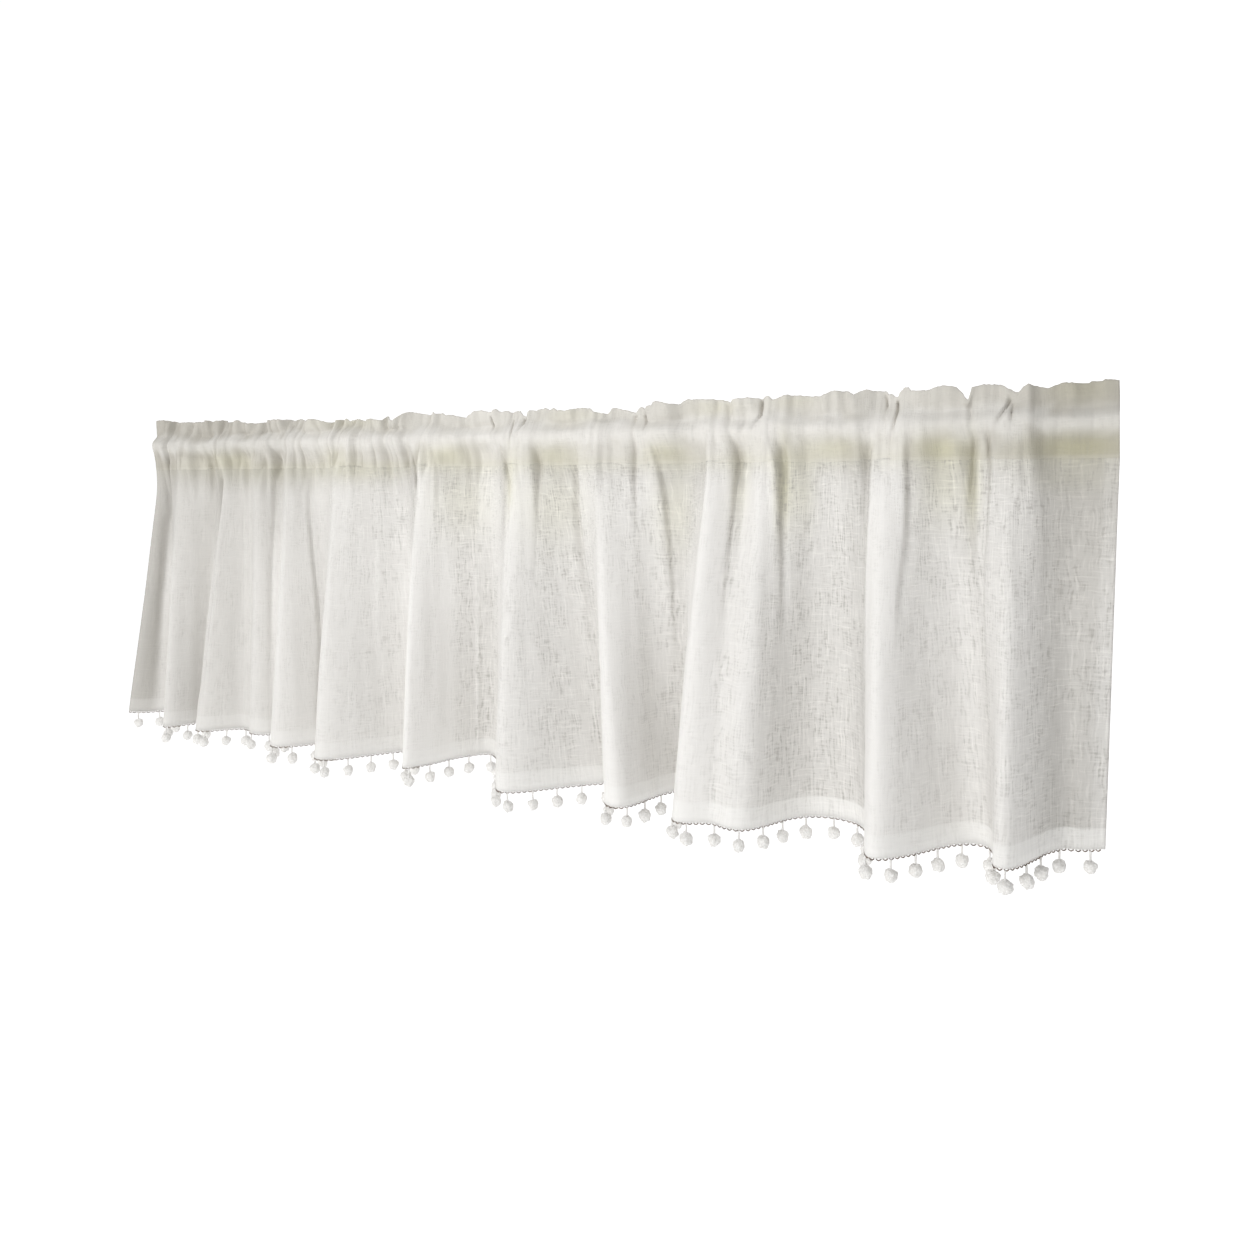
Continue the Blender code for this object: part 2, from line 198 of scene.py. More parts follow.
# The frill's top edge: the place on the rod and how far the edge lies under the top edge, in millimetres
EDGE_DIPS = [
    (-647, 4.4), (-645, 4.4), (-643, 1.7), (-624, 1.9), (-609, 5.7), (-595, 6.2), (-541, 6.5),
    (-535, 4.6), (-527, 6.7), (-507, 5.4), (-502, 8.5), (-482, 9.4), (-474, 6.5), (-470, 9.8),
    (-449, 11.9), (-434, 8.1), (-389, 7.6), (-384, 9.6), (-373, 6.8), (-357, 11.7), (-346, 9.0),
    (-333, 9.6), (-314, 14.6), (-304, 10.3), (-295, 11.2), (-293, 9.4), (-290, 9.4), (-286, 12.8),
    (-273, 10.0), (-259, 13.5), (-246, 11.1), (-217, 15.0), (-216, 9.4), (-211, 9.5), (-198, 16.6),
    (-188, 7.8), (-179, 4.4), (-152, 9.0), (-145, 5.4), (-141, 8.2), (-133, 7.0), (-130, 9.8),
    (-119, 9.7), (-92, 14.9), (-87, 10.9), (-83, 11.4), (-78, 7.5), (-68, 6.6), (-53, 10.1), (-50, 5.9),
    (-47, 5.1), (-43, 9.1), (-32, 7.8), (-28, 10.7), (-15, 8.4), (-10, 15.1), (-5, 16.6), (-4, 10.6),
    (-2, 7.7), (7, 9.5), (10, 7.1), (20, 6.2), (26, 9.1), (37, 8.0), (42, 10.6), (54, 11.2), (76, 8.2),
    (84, 9.6), (88, 13.4), (104, 16.4), (110, 9.4), (114, 9.7), (141, 16.4), (143, 15.5), (144, 11.0),
    (148, 9.4), (153, 12.2), (158, 8.9), (164, 9.3), (168, 5.7), (175, 4.8), (188, 8.9), (199, 9.3),
    (207, 3.9), (237, 4.9), (254, 6.9), (258, 9.5), (261, 6.0), (279, 4.5), (293, 6.3), (299, 3.0),
    (302, 3.1), (305, 7.7), (308, 7.9), (317, 2.9), (361, 6.7), (369, 3.9), (371, 1.7), (388, 2.7),
    (394, 5.9), (406, 1.4), (425, 3.0), (428, 6.7), (431, 5.4), (435, 9.8), (439, 9.9), (440, 5.9),
    (446, 0.8), (450, 1.0), (452, 4.4), (468, 5.3), (484, 0.7), (498, 3.3), (499, 6.5), (502, 8.6),
    (505, 15.5), (509, 16.9), (510, 6.3), (511, 4.1), (520, 1.6), (537, 2.0), (552, 10.8), (555, 11.0),
    (559, 5.1), (563, 3.4), (580, 8.1), (593, 2.7), (615, 4.9), (619, 2.0), (628, 2.6), (630, 0.6),
    (642, 2.4),
]

# Ridges and troughs of the cloth, in millimetres: how far each reaches to its left and to its right, its
# height (below 0 for a trough), and its path of places on the rod, depths under the top edge and shares of
# that height. A short reach on one side makes a crisp tuck there.
Crease = namedtuple("Crease", "left right height path")
CREASES = [
    Crease(6, 6, -7, ((-617, 63, 0.8), (-618, 90, 1), (-627, 151, 1), (-630, 274, 0.6), (-630, 402, 0.2))),
    Crease(9, 2, -18, (
        (-500, 65, 0.2), (-501, 90, 0.6), (-503, 120, 1), (-504, 176, 1), (-503, 261, 0.6),
        (-503, 377, 0.5),
    )),
    Crease(1.5, 1.5, -4, ((-540, 63, 0.5), (-536, 71, 1), (-545, 80, 0.4))),
    Crease(2, 6, 1.5, ((-474, 88, 0.8), (-471, 206, 1), (-467, 349, 1), (-466, 450, 0.5))),
    Crease(3, 3, -4, (
        (-409, 65, 0.8), (-417, 90, 1), (-419, 145, 0.8), (-424, 231, 0.5), (-428, 387, 0.2),
    )),
    Crease(2.5, 2.5, -4, (
        (-356, 110, 0.5), (-356, 145, 1), (-351, 256, 1), (-350, 314, 0.8), (-356, 412, 0.4),
    )),
    Crease(2, 10, 3, (
        (-304, 62, 0.8), (-302, 85, 1), (-296, 118, 1), (-290, 198, 0.6), (-287, 299, 0.2),
    )),
    Crease(3, 1.5, -4, ((-308, 60, 0.6), (-303, 78, 1), (-304, 110, 0.5), (-304, 145, 0))),
    Crease(2, 10, 2, ((-232, 78, 0.5), (-235, 118, 1), (-238, 198, 0.7), (-243, 302, 0.2))),
    Crease(2.5, 2.5, -6, (
        (-172, 54, 0.4), (-167, 69, 1), (-162, 90, 1), (-163, 108, 0.5), (-185, 133, 0),
    )),
    Crease(4, 8, 2.5, (
        (-155, 56, 0.7), (-152, 93, 1), (-157, 143, 0.7), (-159, 218, 0.3), (-158, 294, 0),
    )),
    Crease(3, 3, -3, ((-140, 54, 0.5), (-133, 73, 1), (-132, 98, 0.6), (-130, 143, 0))),
    Crease(2, 12, 2.5, ((-71, 56, 0.5), (-73, 73, 1), (-82, 193, 0.9), (-85, 324, 0.7), (-85, 425, 0.4))),
    Crease(1.4, 1.4, -9, ((-54, 12, 1), (-53, 23, 1), (-51, 33, 0.2))),
    Crease(3, 3, -5, (
        (-41, 50, 0.4), (-32, 65, 1), (-22, 93, 1), (-21, 140, 0.5), (-17, 236, 0.2), (-16, 300, 0),
    )),
    Crease(1.4, 1.4, -8, ((-23, 17, 0.6), (-21, 29, 1), (-20, 42, 0.2))),
    Crease(1.6, 1.6, -9, ((-6, 12, 1), (-7, 23, 0.8), (-13, 37, 0.2))),
    Crease(9, 9, 2.5, ((-8, 52, 0.5), (-10, 93, 1), (-11, 166, 0.7), (-13, 259, 0.3))),
    Crease(3.5, 4, -5.5, (
        (7, 54, 0.5), (14, 73, 1), (10, 110, 0.8), (7, 160, 0.25), (2, 230, 0.1), (-1, 300, 0),
    )),
    Crease(2.5, 14, 3, (
        (63, 38, 0.4), (68, 52, 0.6), (72, 69, 1), (61, 118, 1), (61, 188, 0.8), (63, 246, 0.5),
        (96, 296, 0.2),
    )),
    Crease(5, 2, -5, (
        (64, 46, 0.2), (68, 67, 0.8), (55, 118, 1), (54, 188, 0.7), (54, 249, 0.4), (52, 307, 0),
    )),
    Crease(2.5, 2.5, -6, (
        (141, 13, 1), (142, 35, 0.5), (142, 54, 0.8), (140, 88, 0.8), (140, 120, 0.25), (138, 150, 0),
    )),
    Crease(12, 3, 4, (
        (159, 42, 0.3), (163, 60, 1), (168, 88, 1), (173, 115, 1), (176, 186, 0.8), (179, 254, 0.5),
        (180, 324, 0),
    )),
    Crease(3, 5, -5, (
        (165, 48, 0.3), (170, 62, 0.9), (175, 93, 1), (178, 128, 0.9), (183, 186, 0.5), (187, 254, 0),
    )),
    Crease(1.4, 1.6, -8, ((154, 15, 1), (156, 29, 0.8), (156, 38, 0))),
    Crease(4, 10, 3.5, ((235, 37, 0.4), (234, 62, 1), (237, 115, 1), (239, 181, 0.7), (241, 244, 0.3))),
    Crease(3, 3.5, -5.5, (
        (257, 6, 0.8), (257, 25, 0.7), (260, 40, 0.3), (264, 56, 1), (268, 75, 1), (265, 100, 1),
        (265, 148, 0.7), (266, 213, 0.3), (268, 264, 0),
    )),
    Crease(8, 10, 3, ((292, 50, 0.5), (292, 83, 1), (300, 138, 0.8), (302, 221, 0.4), (303, 302, 0))),
    Crease(1.6, 1.6, -9, ((293, 6, 1), (293, 23, 1), (288, 31, 0.6), (284, 40, 0.2))),
    Crease(1.4, 1.4, -5, ((277, 29, 0.6), (273, 37, 1), (271, 48, 0.4))),
    Crease(10, 2.5, 3.5, (
        (302, 44, 0.4), (305, 56, 0.8), (312, 75, 1), (315, 115, 1), (318, 168, 0.6), (320, 241, 0.2),
    )),
    Crease(4, 4, -5, (
        (315, 52, 0.4), (318, 63, 1), (320, 115, 0.9), (322, 178, 0.4), (324, 244, 0.1), (324, 304, 0),
    )),
    Crease(2.5, 14, 2.5, (
        (321, 48, 0.3), (325, 58, 0.8), (326, 71, 1), (326, 115, 1), (328, 178, 0.6), (331, 244, 0.2),
    )),
    Crease(7, 2.5, -6, ((412, 60, 0.4), (409, 78, 0.9), (408, 105, 1), (405, 176, 0.8), (400, 259, 0.3))),
    Crease(3, 16, 4.5, (
        (421, 54, 0.3), (416, 65, 0.8), (415, 90, 1), (414, 156, 1), (414, 216, 0.6), (416, 294, 0.2),
    )),
    Crease(1.3, 1.3, -8, ((426, 8, 0.7), (427, 15, 1), (427, 23, 0.3))),
    Crease(1.5, 1.5, -10, ((438, 10, 1), (439, 23, 1), (437, 37, 0.6), (434, 50, 0.2))),
    Crease(16, 2.5, 3, (
        (447, 42, 0.2), (447, 56, 0.8), (445, 110, 1), (442, 161, 0.8), (437, 213, 0.5),
        (435, 289, 0.2),
    )),
    Crease(4, 6, -3, ((452, 69, 0.6), (450, 110, 1), (447, 161, 0.8), (442, 213, 0.4))),
    Crease(3, 3, -6, (
        (508, 15, 0.7), (511, 33, 0.8), (511, 44, 0.3), (514, 56, 1), (511, 90, 1), (503, 135, 0.5),
        (498, 193, 0),
    )),
    Crease(6, 5, 3, ((520, 56, 0.6), (517, 95, 1), (513, 156, 0.7), (507, 213, 0))),
    Crease(2.5, 2, -6, ((526, 52, 0.5), (528, 63, 1), (528, 83, 0.8), (525, 110, 0.5), (521, 173, 0.2))),
    Crease(3, 18, 4, (
        (531, 50, 0.4), (531, 65, 0.9), (528, 90, 1), (526, 153, 0.9), (522, 231, 0.6),
        (522, 307, 0.3),
    )),
    Crease(18, 4, 2.5, ((568, 52, 0.6), (569, 67, 1), (571, 95, 1), (575, 153, 0.6), (576, 211, 0))),
    Crease(1.6, 2, -9, ((546, 17, 0.8), (543, 25, 1), (537, 35, 0.8), (534, 42, 0))),
    Crease(1.4, 1.4, -7, ((550, 21, 0.4), (548, 31, 1), (548, 40, 0))),
    Crease(3, 4, -1.5, ((592, 33, 0.5), (589, 42, 1), (588, 52, 0.2))),
    Crease(3, 3, -1.5, ((621, 25, 0.4), (621, 38, 1), (620, 56, 0.3))),
    Crease(10, 8, 1.8, ((484, 78, 0.6), (487, 115, 1), (489, 166, 0.8), (492, 234, 0))),
]

# How dark and open the cloth looks from left to right: places on the rod in millimetres and tones, from 0 on
# the bright faces to 1.7 in the deepest valleys. The darkness is painted shade, in the valleys, on faces
# turned from the lamp and towards both ends; the same tones open the weave. The high tones hold down to the
# high depth, and the low ones from the low depth on. The top tone is painted shade added close under the
# heading.
TOP_TONE = 0.4
TOP_TONE_ENDS = 45     # millimetres in which it runs out
HIGH_DOWN = 95
LOW_DOWN = 250
HIGH_TONES = [
    (-641, 1.7), (-631, 1.7), (-618, 1.7), (-592, 1.3), (-588, 1.15), (-553, 1.15), (-546, 1.4),
    (-513, 1.7), (-500, 1.0), (-481, 1.0), (-476, 1.2), (-471, 1.1), (-423, 1.1), (-417, 1.4),
    (-401, 0.95), (-360, 0.8), (-354, 1.1), (-351, 0.7), (-304, 0.8), (-295, 0.5), (-272, 0.6),
    (-267, 0.8), (-235, 0.85), (-231, 0.7), (-196, 0.8), (-162, 1.1), (-155, 0.15), (-144, 0.15),
    (-135, 0.8), (-80, 0.8), (-75, 0.25), (-45, 0.35), (-29, 1.0), (-20, 0.05), (4, 0.05), (8, 0.9),
    (19, 0.75), (56, 0.75), (71, 0.35), (99, 0.45), (135, 0.5), (140, 0.9), (144, 0.4), (164, 0.45),
    (172, 1.0), (179, 0.85), (229, 0.8), (238, 0.0), (258, 0.05), (264, 1.1), (272, 1.0), (278, 0.1),
    (311, 0.15), (316, 1.05), (324, 1.0), (326, 0.5), (377, 0.6), (389, 0.95), (410, 1.05), (415, 0.1),
    (444, 0.1), (447, 0.9), (469, 0.85), (483, 0.6), (494, 0.7), (506, 1.3), (512, 1.2), (516, 0.5),
    (524, 0.5), (527, 1.2), (530, 0.65), (565, 0.8), (574, 1.3), (591, 1.7), (618, 1.7), (642, 1.7),
]
LOW_TONES = [
    (-641, 1.7), (-632, 1.7), (-629, 0.7), (-570, 0.85), (-561, 1.2), (-548, 1.3), (-503, 0.85),
    (-473, 0.9), (-468, 0.95), (-441, 0.75), (-431, 0.8), (-427, 0.95), (-422, 0.4), (-357, 0.45),
    (-351, 0.95), (-290, 0.4), (-269, 0.4), (-259, 0.45), (-215, 0.5), (-159, 0.1), (-119, 0.1),
    (-108, 0.5), (-88, 0.55), (-83, 0.9), (-78, 0.7), (-63, 0.85), (-45, 0.3), (-3, 0.35), (6, 0.55),
    (40, 0.5), (56, 0.9), (96, 0.1), (116, 0.1), (134, 0.35), (168, 0.4), (192, 0.95), (217, 0.05),
    (255, 0.1), (266, 0.45), (283, 0.35), (305, 0.35), (315, 0.55), (339, 0.65), (377, 0.7), (402, 0.95),
    (414, 0.05), (434, 0.1), (439, 0.35), (479, 0.35), (519, 0.6), (526, 0.35), (555, 0.4),
    (569, 0.75), (587, 1.3), (621, 1.25), (641, 0.9),
]

# How far the heading's painted shade tones are spread above its band, what is added to them above the band
# and in it, and how dark and how wide the painted shade in the slits between the tight puckers is
TONES_SPREAD = 20 * MM
SLIT_TONE = 0.6
SLIT_WIDTH = 0.14
UPPER_TONES = [(-641, 0.5), (-480, 0.55), (-330, 0.25), (-120, 0.1), (430, 0.15), (560, 0.6), (642, 1)]
BAND_TONES = [(-641, 0.1), (-500, -0.08), (-330, 0), (-120, 0.1), (430, 0.15), (560, 0.6), (642, 1)]

# The heading's section in millimetres: the depth under the top edge, half the distance from the front's face
# to the back's, and how much of the folds, the pleats and the pinches its front and back take part in
Level = namedtuple("Level", "down half folds front_pleats back_pleats front_pinch back_pinch")
HEADING_LEVELS = [
    Level(0, 1.3, -0.7, 1.25, 1.25, 1.1, 1.1),
    Level(8, 1.3, -0.6, 1.1, 1.1, 1.1, 1.1),
    Level(16, 1.3, -0.4, 1, 1, 1, 1),
    Level(22, 1.3, 0, 0.75, 0.75, 0.9, 0.9),
    Level(25, 1.7, 0.2, 0.6, 0.6, 0.8, 0.8),
    Level(27.5, 2.9, 0.25, 0.6, 0.6, 0.8, 0.8),
    Level(30, 5, 0.2, 0.6, 0.2, 0.8, 0),
    Level(33, 7.8, 0.1, 0.6, 0, 0.8, 0),
    Level(36.5, 10, 0, 0.55, 0, 0.7, 0),
    Level(40.5, 10.4, 0, 0.55, 0, 0.7, 0),
    Level(44.5, 9.6, 0.1, 0.6, 0, 0.7, 0),
    Level(49, 7.2, 0.25, 0.65, 0, 0.8, 0),
    Level(53, 4.9, 0.45, 0.75, 0.3, 0.9, 0.3),
    Level(57, 3.2, 0.65, 0.85, 0.7, 1, 0.7),
    Level(62, 1.9, 0.8, 0.9, 0.9, 1, 1),
    Level(68, 1.3, 0.9, 0.95, 0.95, 1, 1),
    Level(75, 1.3, 1, 1, 1, 1, 1),
]
SECTION_DOWNS = [
    0.6, 2.5, 5, 8, 11.5, 15, 18.5, 22, 25, 27.5, 29, 31, 33.5, 36.5, 40, 43.5, 46.5, 49.5, 52.5, 55.5, 59,
    63, 66.5, 69.5, 72, 73.6, 74.7, 75,
]


def crests():
    """Every ridge, valley and edge of the cloth from left to right, in metres."""
    found = []
    for edge in (LEFT_EDGE, LEFT_TURN):
        found.append(Crest(edge.top_x, 0, edge.x, edge.y, edge.inward, edge.outward, edge.rise))
    ridge_y, valley_y = RIDGE_AT_ROD / MM, VALLEY_AT_ROD / MM
    for fold in FOLDS:
        ridge = (fold.ridge_top_x, ridge_y, fold.ridge_x, fold.ridge_y, fold.ridge_in, fold.ridge_out, 0)
        found.append(Crest(*ridge))
        reaches = (fold.valley_in, fold.valley_out)
        found.append(Crest(fold.valley_top_x, valley_y, fold.valley_x, fold.valley_y, *reaches, 0))
    edge = RIGHT_EDGE
    found.append(Crest(edge.top_x, 0, edge.x, edge.y, edge.inward, edge.outward, edge.rise))
    return [Crest(*(value * MM for value in crest)) for crest in found]


def mix(a, b, share):
    """From a to b by a share of the way."""
    return a + (b - a) * share


def smooth(share):
    """0 to 1 with level ends, and flat beyond them."""
    share = min(1, max(0, share))
    return share * share * (3 - 2 * share)


def noise_at(x, y, z):
    """Smooth noise round 0 at a place."""
    return noise.noise(Vector((x, y, z)))


def pleat_depth(x):
    """How far the small pleats at the heading stand forward, with slightly tight troughs."""
    depth = 0
    for fold in FOLDS:
        pitch = fold.pitch * MM
        half_width = fold.pleats * pitch / 2
        away = x - fold.ridge_top_x * MM
        if abs(away) < half_width:
            turn = math.pi * (away + half_width) / pitch
            rounded = math.sin(turn) ** 2
            depth += PLEAT_DEPTH * mix(rounded, abs(math.sin(turn)), SHARP_PLEATS)
    return depth


def pinch_depth(x):
    """How far the slits between the gathers reach back."""
    depth = 0
    for pinch in PINCHES:
        away = abs(x / MM - pinch.x) / pinch.width
        if away < 1:
            depth += pinch.depth * MM * (1 - smooth(away))
    return depth


def tight_share(x):
    """How strong the tight puckers are here, from 0 to 1."""
    return mix(1, 0.15, smooth((x / MM + 260) / 260))


def tight_pucker(x, down):
    """The shape of the tight puckers: round crests with slits at 0 between them."""
    return abs(noise_at(x * 74 + down * 5, down * 10, 15.2))


def small_gathers(x, down):
    """How far the uneven gathers between the pleats stand forward. They change slowly down the cloth."""
    wide = noise_at(x * 30 + down * 2, down * 5, 11.3)
    narrow = noise_at(x * 88 - down * 3, down * 9, 2.6)
    return GATHER_DEPTH * (wide + 0.4 * narrow) + TIGHT_PUCKERS * tight_pucker(x, down) * tight_share(x)


def back_puckers(x, down):
    """How far the back of the heading is puckered further back, out of sight from the front."""
    return PUCKERS * abs(noise_at(x * 95, down * 8, 31.7))


def crease_row(down, places, arcs):
    """The height of all creases along one row of a sheet, at this depth in millimetres under the top edge.

    places are the columns' places on the rod and arcs their places along the row, both in metres.
    """
    total = np.zeros(len(places))
    for crease in CREASES:
        first, last = crease.path[0], crease.path[-1]
        if not first[1] - CREASE_STARTS < down < last[1] + CREASE_ENDS:
            continue
        downs = [first[1] - CREASE_STARTS] + [point[1] for point in crease.path] + [last[1] + CREASE_ENDS]
        shares = [0] + [point[2] for point in crease.path] + [0]
        xs = [first[0]] + [point[0] for point in crease.path] + [last[0]]
        centre = np.interp(np.interp(down, downs, xs) * MM, places, arcs)
        away = (arcs - centre) / MM
        reach = np.where(away < 0, crease.left, crease.right)
        total += crease.height * MM * np.interp(down, downs, shares) * np.exp(-((away / reach) ** 2))
    return total


def rod_line(x, line):
    """The cloth's depth along Y at the lower stitch line, without pleats and pinches."""
    for left, right in zip(line, line[1:]):
        if left.top_x <= x <= right.top_x:
            share = (x - left.top_x) / (right.top_x - left.top_x)
            return mix(left.top_y, right.top_y, smooth(share))
    return line[-1].top_y


def read_table(pairs, places):
    """A table's values at the places between those of its pairs."""
    return np.interp(places, [place for place, _ in pairs], [value for _, value in pairs])


def frill_dip(x):
    """How far the frill's edge lies under the top edge."""
    dip = read_table(EDGE_DIPS, x / MM) * MM
    dip += RAGGED * (noise_at(x * 300, 1.7, 0) + 0.7 * noise_at(x * 560, 6.1, 0))
    return max(0.5 * MM, dip)


def seam_wander(x):
    """How far the stitch lines stray up or down, in millimetres."""
    return 1.5 * noise_at(x * 19, 0.4, 3.8) + 0.9 * noise_at(x * 70, 7.4, 1.8)


def frill_wave(x):
    """How far the frill's edge leans forward or back between the gathers."""
    return FRILL_WAVE * (noise_at(x * 17, 9.3, 0) + 0.4 * noise_at(x * 48, 2.9, 0))


def bend(left, right, share):
    """A point of the hem's curve between two crests, as a cubic that leaves both of them along X."""
    start, end = Vector((left.x, left.y)), Vector((right.x, right.y))
    near = start + Vector((left.right_reach, 0))
    far = end - Vector((right.left_reach, 0))
    rest = 1 - share
    return start * rest**3 + near * (3 * share * rest**2) + far * (3 * share**2 * rest) + end * share**3


def hem_share(left_is_ridge, share):
    """The share of the hem's curve that a share of the way between two crests on the rod leads to."""
    if left_is_ridge:
        return share ** (1 / RIDGE_GATHERS)
    return 1 - (1 - share) ** (1 / RIDGE_GATHERS)


def opening(down):
    """How deep the folds have grown at this share of the panel's height."""
    down = max(0, down)
    return mix(down, 1 - (1 - down) ** 4 * (1 + 4 * down), EARLY_OPENING)


def between(x, line):
    """The two crests on either side of a place on the rod, and its share of the way between them."""
    for left, right in zip(line, line[1:]):
        if x <= right.top_x or right is line[-1]:
            break
    return left, right, min(1, max(0, (x - left.top_x) / (right.top_x - left.top_x)))


def panel_point(x, down, line):
    """The panel without its gathers and creases, at a place on the rod and a share of the way down."""
    left, right, share = between(x, line)
    hem = bend(left, right, hem_share(left.top_y < right.top_y, share))
    depth = mix(rod_line(x, line), hem.y, opening(down))
    rise = mix(left.rise, right.rise, share)
    return Vector((mix(x, hem.x, max(0, down)), depth, mix(-HEADING, -DROP + rise, down)))


def gathers_at(x, down):
    """How far the panel's pleats, pinches and gathers stand forward at a share of the way down."""
    fading = max(0, 1 - max(0, down) / PLEAT_FADES) ** 1.7
    if fading == 0:
        return 0
    return fading * (pleat_depth(x) - pinch_depth(x) + small_gathers(x, HEADING + down * (DROP - HEADING)))


def tone_row(down, places):
    """The painted shade tones along one row of a sheet, at this depth in millimetres under the top edge."""
    share = smooth((down - HIGH_DOWN) / (LOW_DOWN - HIGH_DOWN))
    return mix(read_table(HIGH_TONES, places / MM), read_table(LOW_TONES, places / MM), share)


def resample(weights, places, count):
    """Places at even steps of the running total of the weights."""
    total = np.concatenate(([0], np.cumsum(weights)))
    return np.interp(np.linspace(0, total[-1], count), total, places)


def columns(line, count):
    """Places on the rod for a sheet's columns, closer together where the cloth is pleated or pinched."""
    fine = np.linspace(line[0].top_x, line[-1].top_x, 5001)
    hem = np.array([panel_point(x, 1, line) for x in fine])
    gathers = np.array([gathers_at(x, 0) for x in fine])
    along_hem = np.linalg.norm(np.diff(hem, axis=0), axis=1)
    along_rod = 0
    for down in COLUMNS_FOLLOW:
        relief = gathers + crease_row(down, fine, fine)
        along_rod = along_rod + np.hypot(np.diff(fine), np.diff(relief)) / len(COLUMNS_FOLLOW)
    places = resample(along_hem + COLUMNS_AT_ROD * along_rod, fine, count)
    lengths = np.interp(places, fine, np.concatenate(([0], np.cumsum(along_hem))))
    return places, lengths


def add_object(name, data):
    """A new object in the scene."""
    made = bpy.data.objects.new(name, data)
    bpy.context.scene.collection.objects.link(made)
    return made


def select_only(piece):
    """Makes a piece the active one and the only one selected."""
    bpy.ops.object.select_all(action="DESELECT")
    piece.select_set(True)
    bpy.context.view_layer.objects.active = piece


def add_sheet(name, grid, uv, marks, finish):
    """A sheet from a grid of points, with the cloth's places in metres as UV and its marks as attributes."""
    rows, count = grid.shape[:2]
    index = np.arange(rows * count).reshape(rows, count)
    corners = (index[:-1, :-1], index[1:, :-1], index[1:, 1:], index[:-1, 1:])
    quads = np.stack(corners, axis=-1).reshape(-1, 4)
    mesh = bpy.data.meshes.new(name)
    mesh.from_pydata(grid.reshape(-1, 3).tolist(), [], quads.tolist())
    layer = mesh.uv_layers.new(name="Cloth")
    layer.data.foreach_set("uv", uv.reshape(-1, 2)[quads.ravel()].astype(np.float32).ravel())
    for mark, values in marks.items():
        attribute = mesh.attributes.new(mark, "FLOAT", "POINT")
        attribute.data.foreach_set("value", values.astype(np.float32).ravel())
    mesh.materials.append(finish)
    mesh.shade_smooth()
    return add_object(name, mesh)


def thicken(sheet, thickness):
    """Gives the sheet its cloth's thickness, half on each side."""
    select_only(sheet)
    solid = sheet.modifiers.new("Cloth", "SOLIDIFY")
    solid.thickness = thickness
    solid.offset = 0
    bpy.ops.object.modifier_apply(modifier=solid.name)


def sheet_normals(grid):
    """Normals of a grid of points, towards the front."""
    across = np.gradient(grid, axis=1)
    down = np.gradient(grid, axis=0)
    normals = np.cross(down, across)
    return normals / np.linalg.norm(normals, axis=2, keepdims=True)


def make_panel(line, finish):
    """The folded skirt, from its edge between the heading's layers down to the hem."""
    places, lengths = columns(line, PANEL_COLUMNS)
    height = DROP - HEADING
    top = np.linspace(-TUCKED / height, UPPER_PART, int(PANEL_ROWS * UPPER_ROWS), endpoint=False)
    downs = np.concatenate((top, np.linspace(UPPER_PART, 1, PANEL_ROWS - len(top))))
    grid = np.array([[panel_point(x, down, line) for x in places] for down in downs])
    ups = np.repeat((1 - downs)[:, None] * height, len(places), axis=1)
    alongs = np.repeat(lengths[None, :], len(downs), axis=0)
    waves = np.array([
        [noise_at(along * 21, up * 4.5, 0.3) + 0.5 * noise_at(along * 55, up * 9, 4.1) for along in lengths]
        for up in (1 - downs) * height
    ])
    raised = WAVES * waves * np.clip(downs * WAVES_IN, 0, 1)[:, None]
    tones = []
    for row, down in enumerate(downs):
        depth = (HEADING + down * height) / MM
        steps = np.linalg.norm(np.diff(grid[row], axis=0), axis=1)
        arcs = np.concatenate(([0], np.cumsum(steps)))
        raised[row] += crease_row(depth, places, arcs) + np.array([gathers_at(x, down) for x in places])
        # Painted shade from the tone tables, with the top tone close under the heading
        tones.append(tone_row(depth, places) + TOP_TONE * (1 - smooth((depth - SEAM_DOWN) / TOP_TONE_ENDS)))
    forward = np.array((0, -1, 0))
    directions = mix(forward, sheet_normals(grid), np.clip(downs * TURNED_IN, 0, 1)[:, None, None])
    grid = grid + directions * raised[..., None]
    ivory_and_shade = ivory_and_shade_shares(grid)
    uv = np.stack((alongs, ups), axis=-1)
    panel = add_sheet("folded_panel", grid, uv, {"Tone": np.array(tones), "Ivory and shade": ivory_and_shade}, finish)
    thicken(panel, LAYER)
    return panel, grid[-1]


# Patches with a warm cast, in millimetres: the place along the rod, its height, how far it reaches sideways
# and up and down, and how strong it is. Some are the warm cast of doubled cloth; those in the band under the
# pocket's bulge and in the narrow valleys are painted olive shade.
Patch = namedtuple("Patch", "x z wide high strength")
PATCHES = [
    Patch(605, -63, 45, 12, 1),
    Patch(480, -62, 28, 11, 0.7),
    Patch(372, -61, 35, 11, 0.6),
    Patch(180, -61, 26, 11, 0.6),
    Patch(35, -62, 30, 11, 0.5),
    Patch(-120, -60, 35, 12, 0.6),
    Patch(-300, -60, 30, 12, 0.4),
    Patch(-480, -62, 30, 12, 0.35),
    Patch(600, -92, 40, 14, 0.3),
    Patch(35, -120, 40, 50, 0.35),
    Patch(-100, -115, 40, 45, 0.35),
    Patch(190, -125, 25, 50, 0.4),
    Patch(270, -100, 12, 40, 0.35),
    Patch(340, -105, 12, 40, 0.4),
    Patch(484, -95, 22, 38, 0.5),
    Patch(321, -100, 9, 45, 0.8),
    Patch(512, -100, 8, 40, 0.7),
    Patch(-20, -95, 10, 35, 0.5),
    Patch(610, -8, 30, 14, 0.5),
    Patch(240, -14, 30, 9, 0.35),
    Patch(330, -10, 25, 8, 0.3),
    Patch(60, -16, 35, 9, 0.3),
    Patch(-280, -14, 60, 10, 0.35),
    Patch(-520, -60, 60, 12, 0.32),
    Patch(-430, -84, 160, 16, 0.28),
    Patch(-250, -82, 60, 14, 0.3),
    Patch(0, -76, 900, 9, 0.28),
]


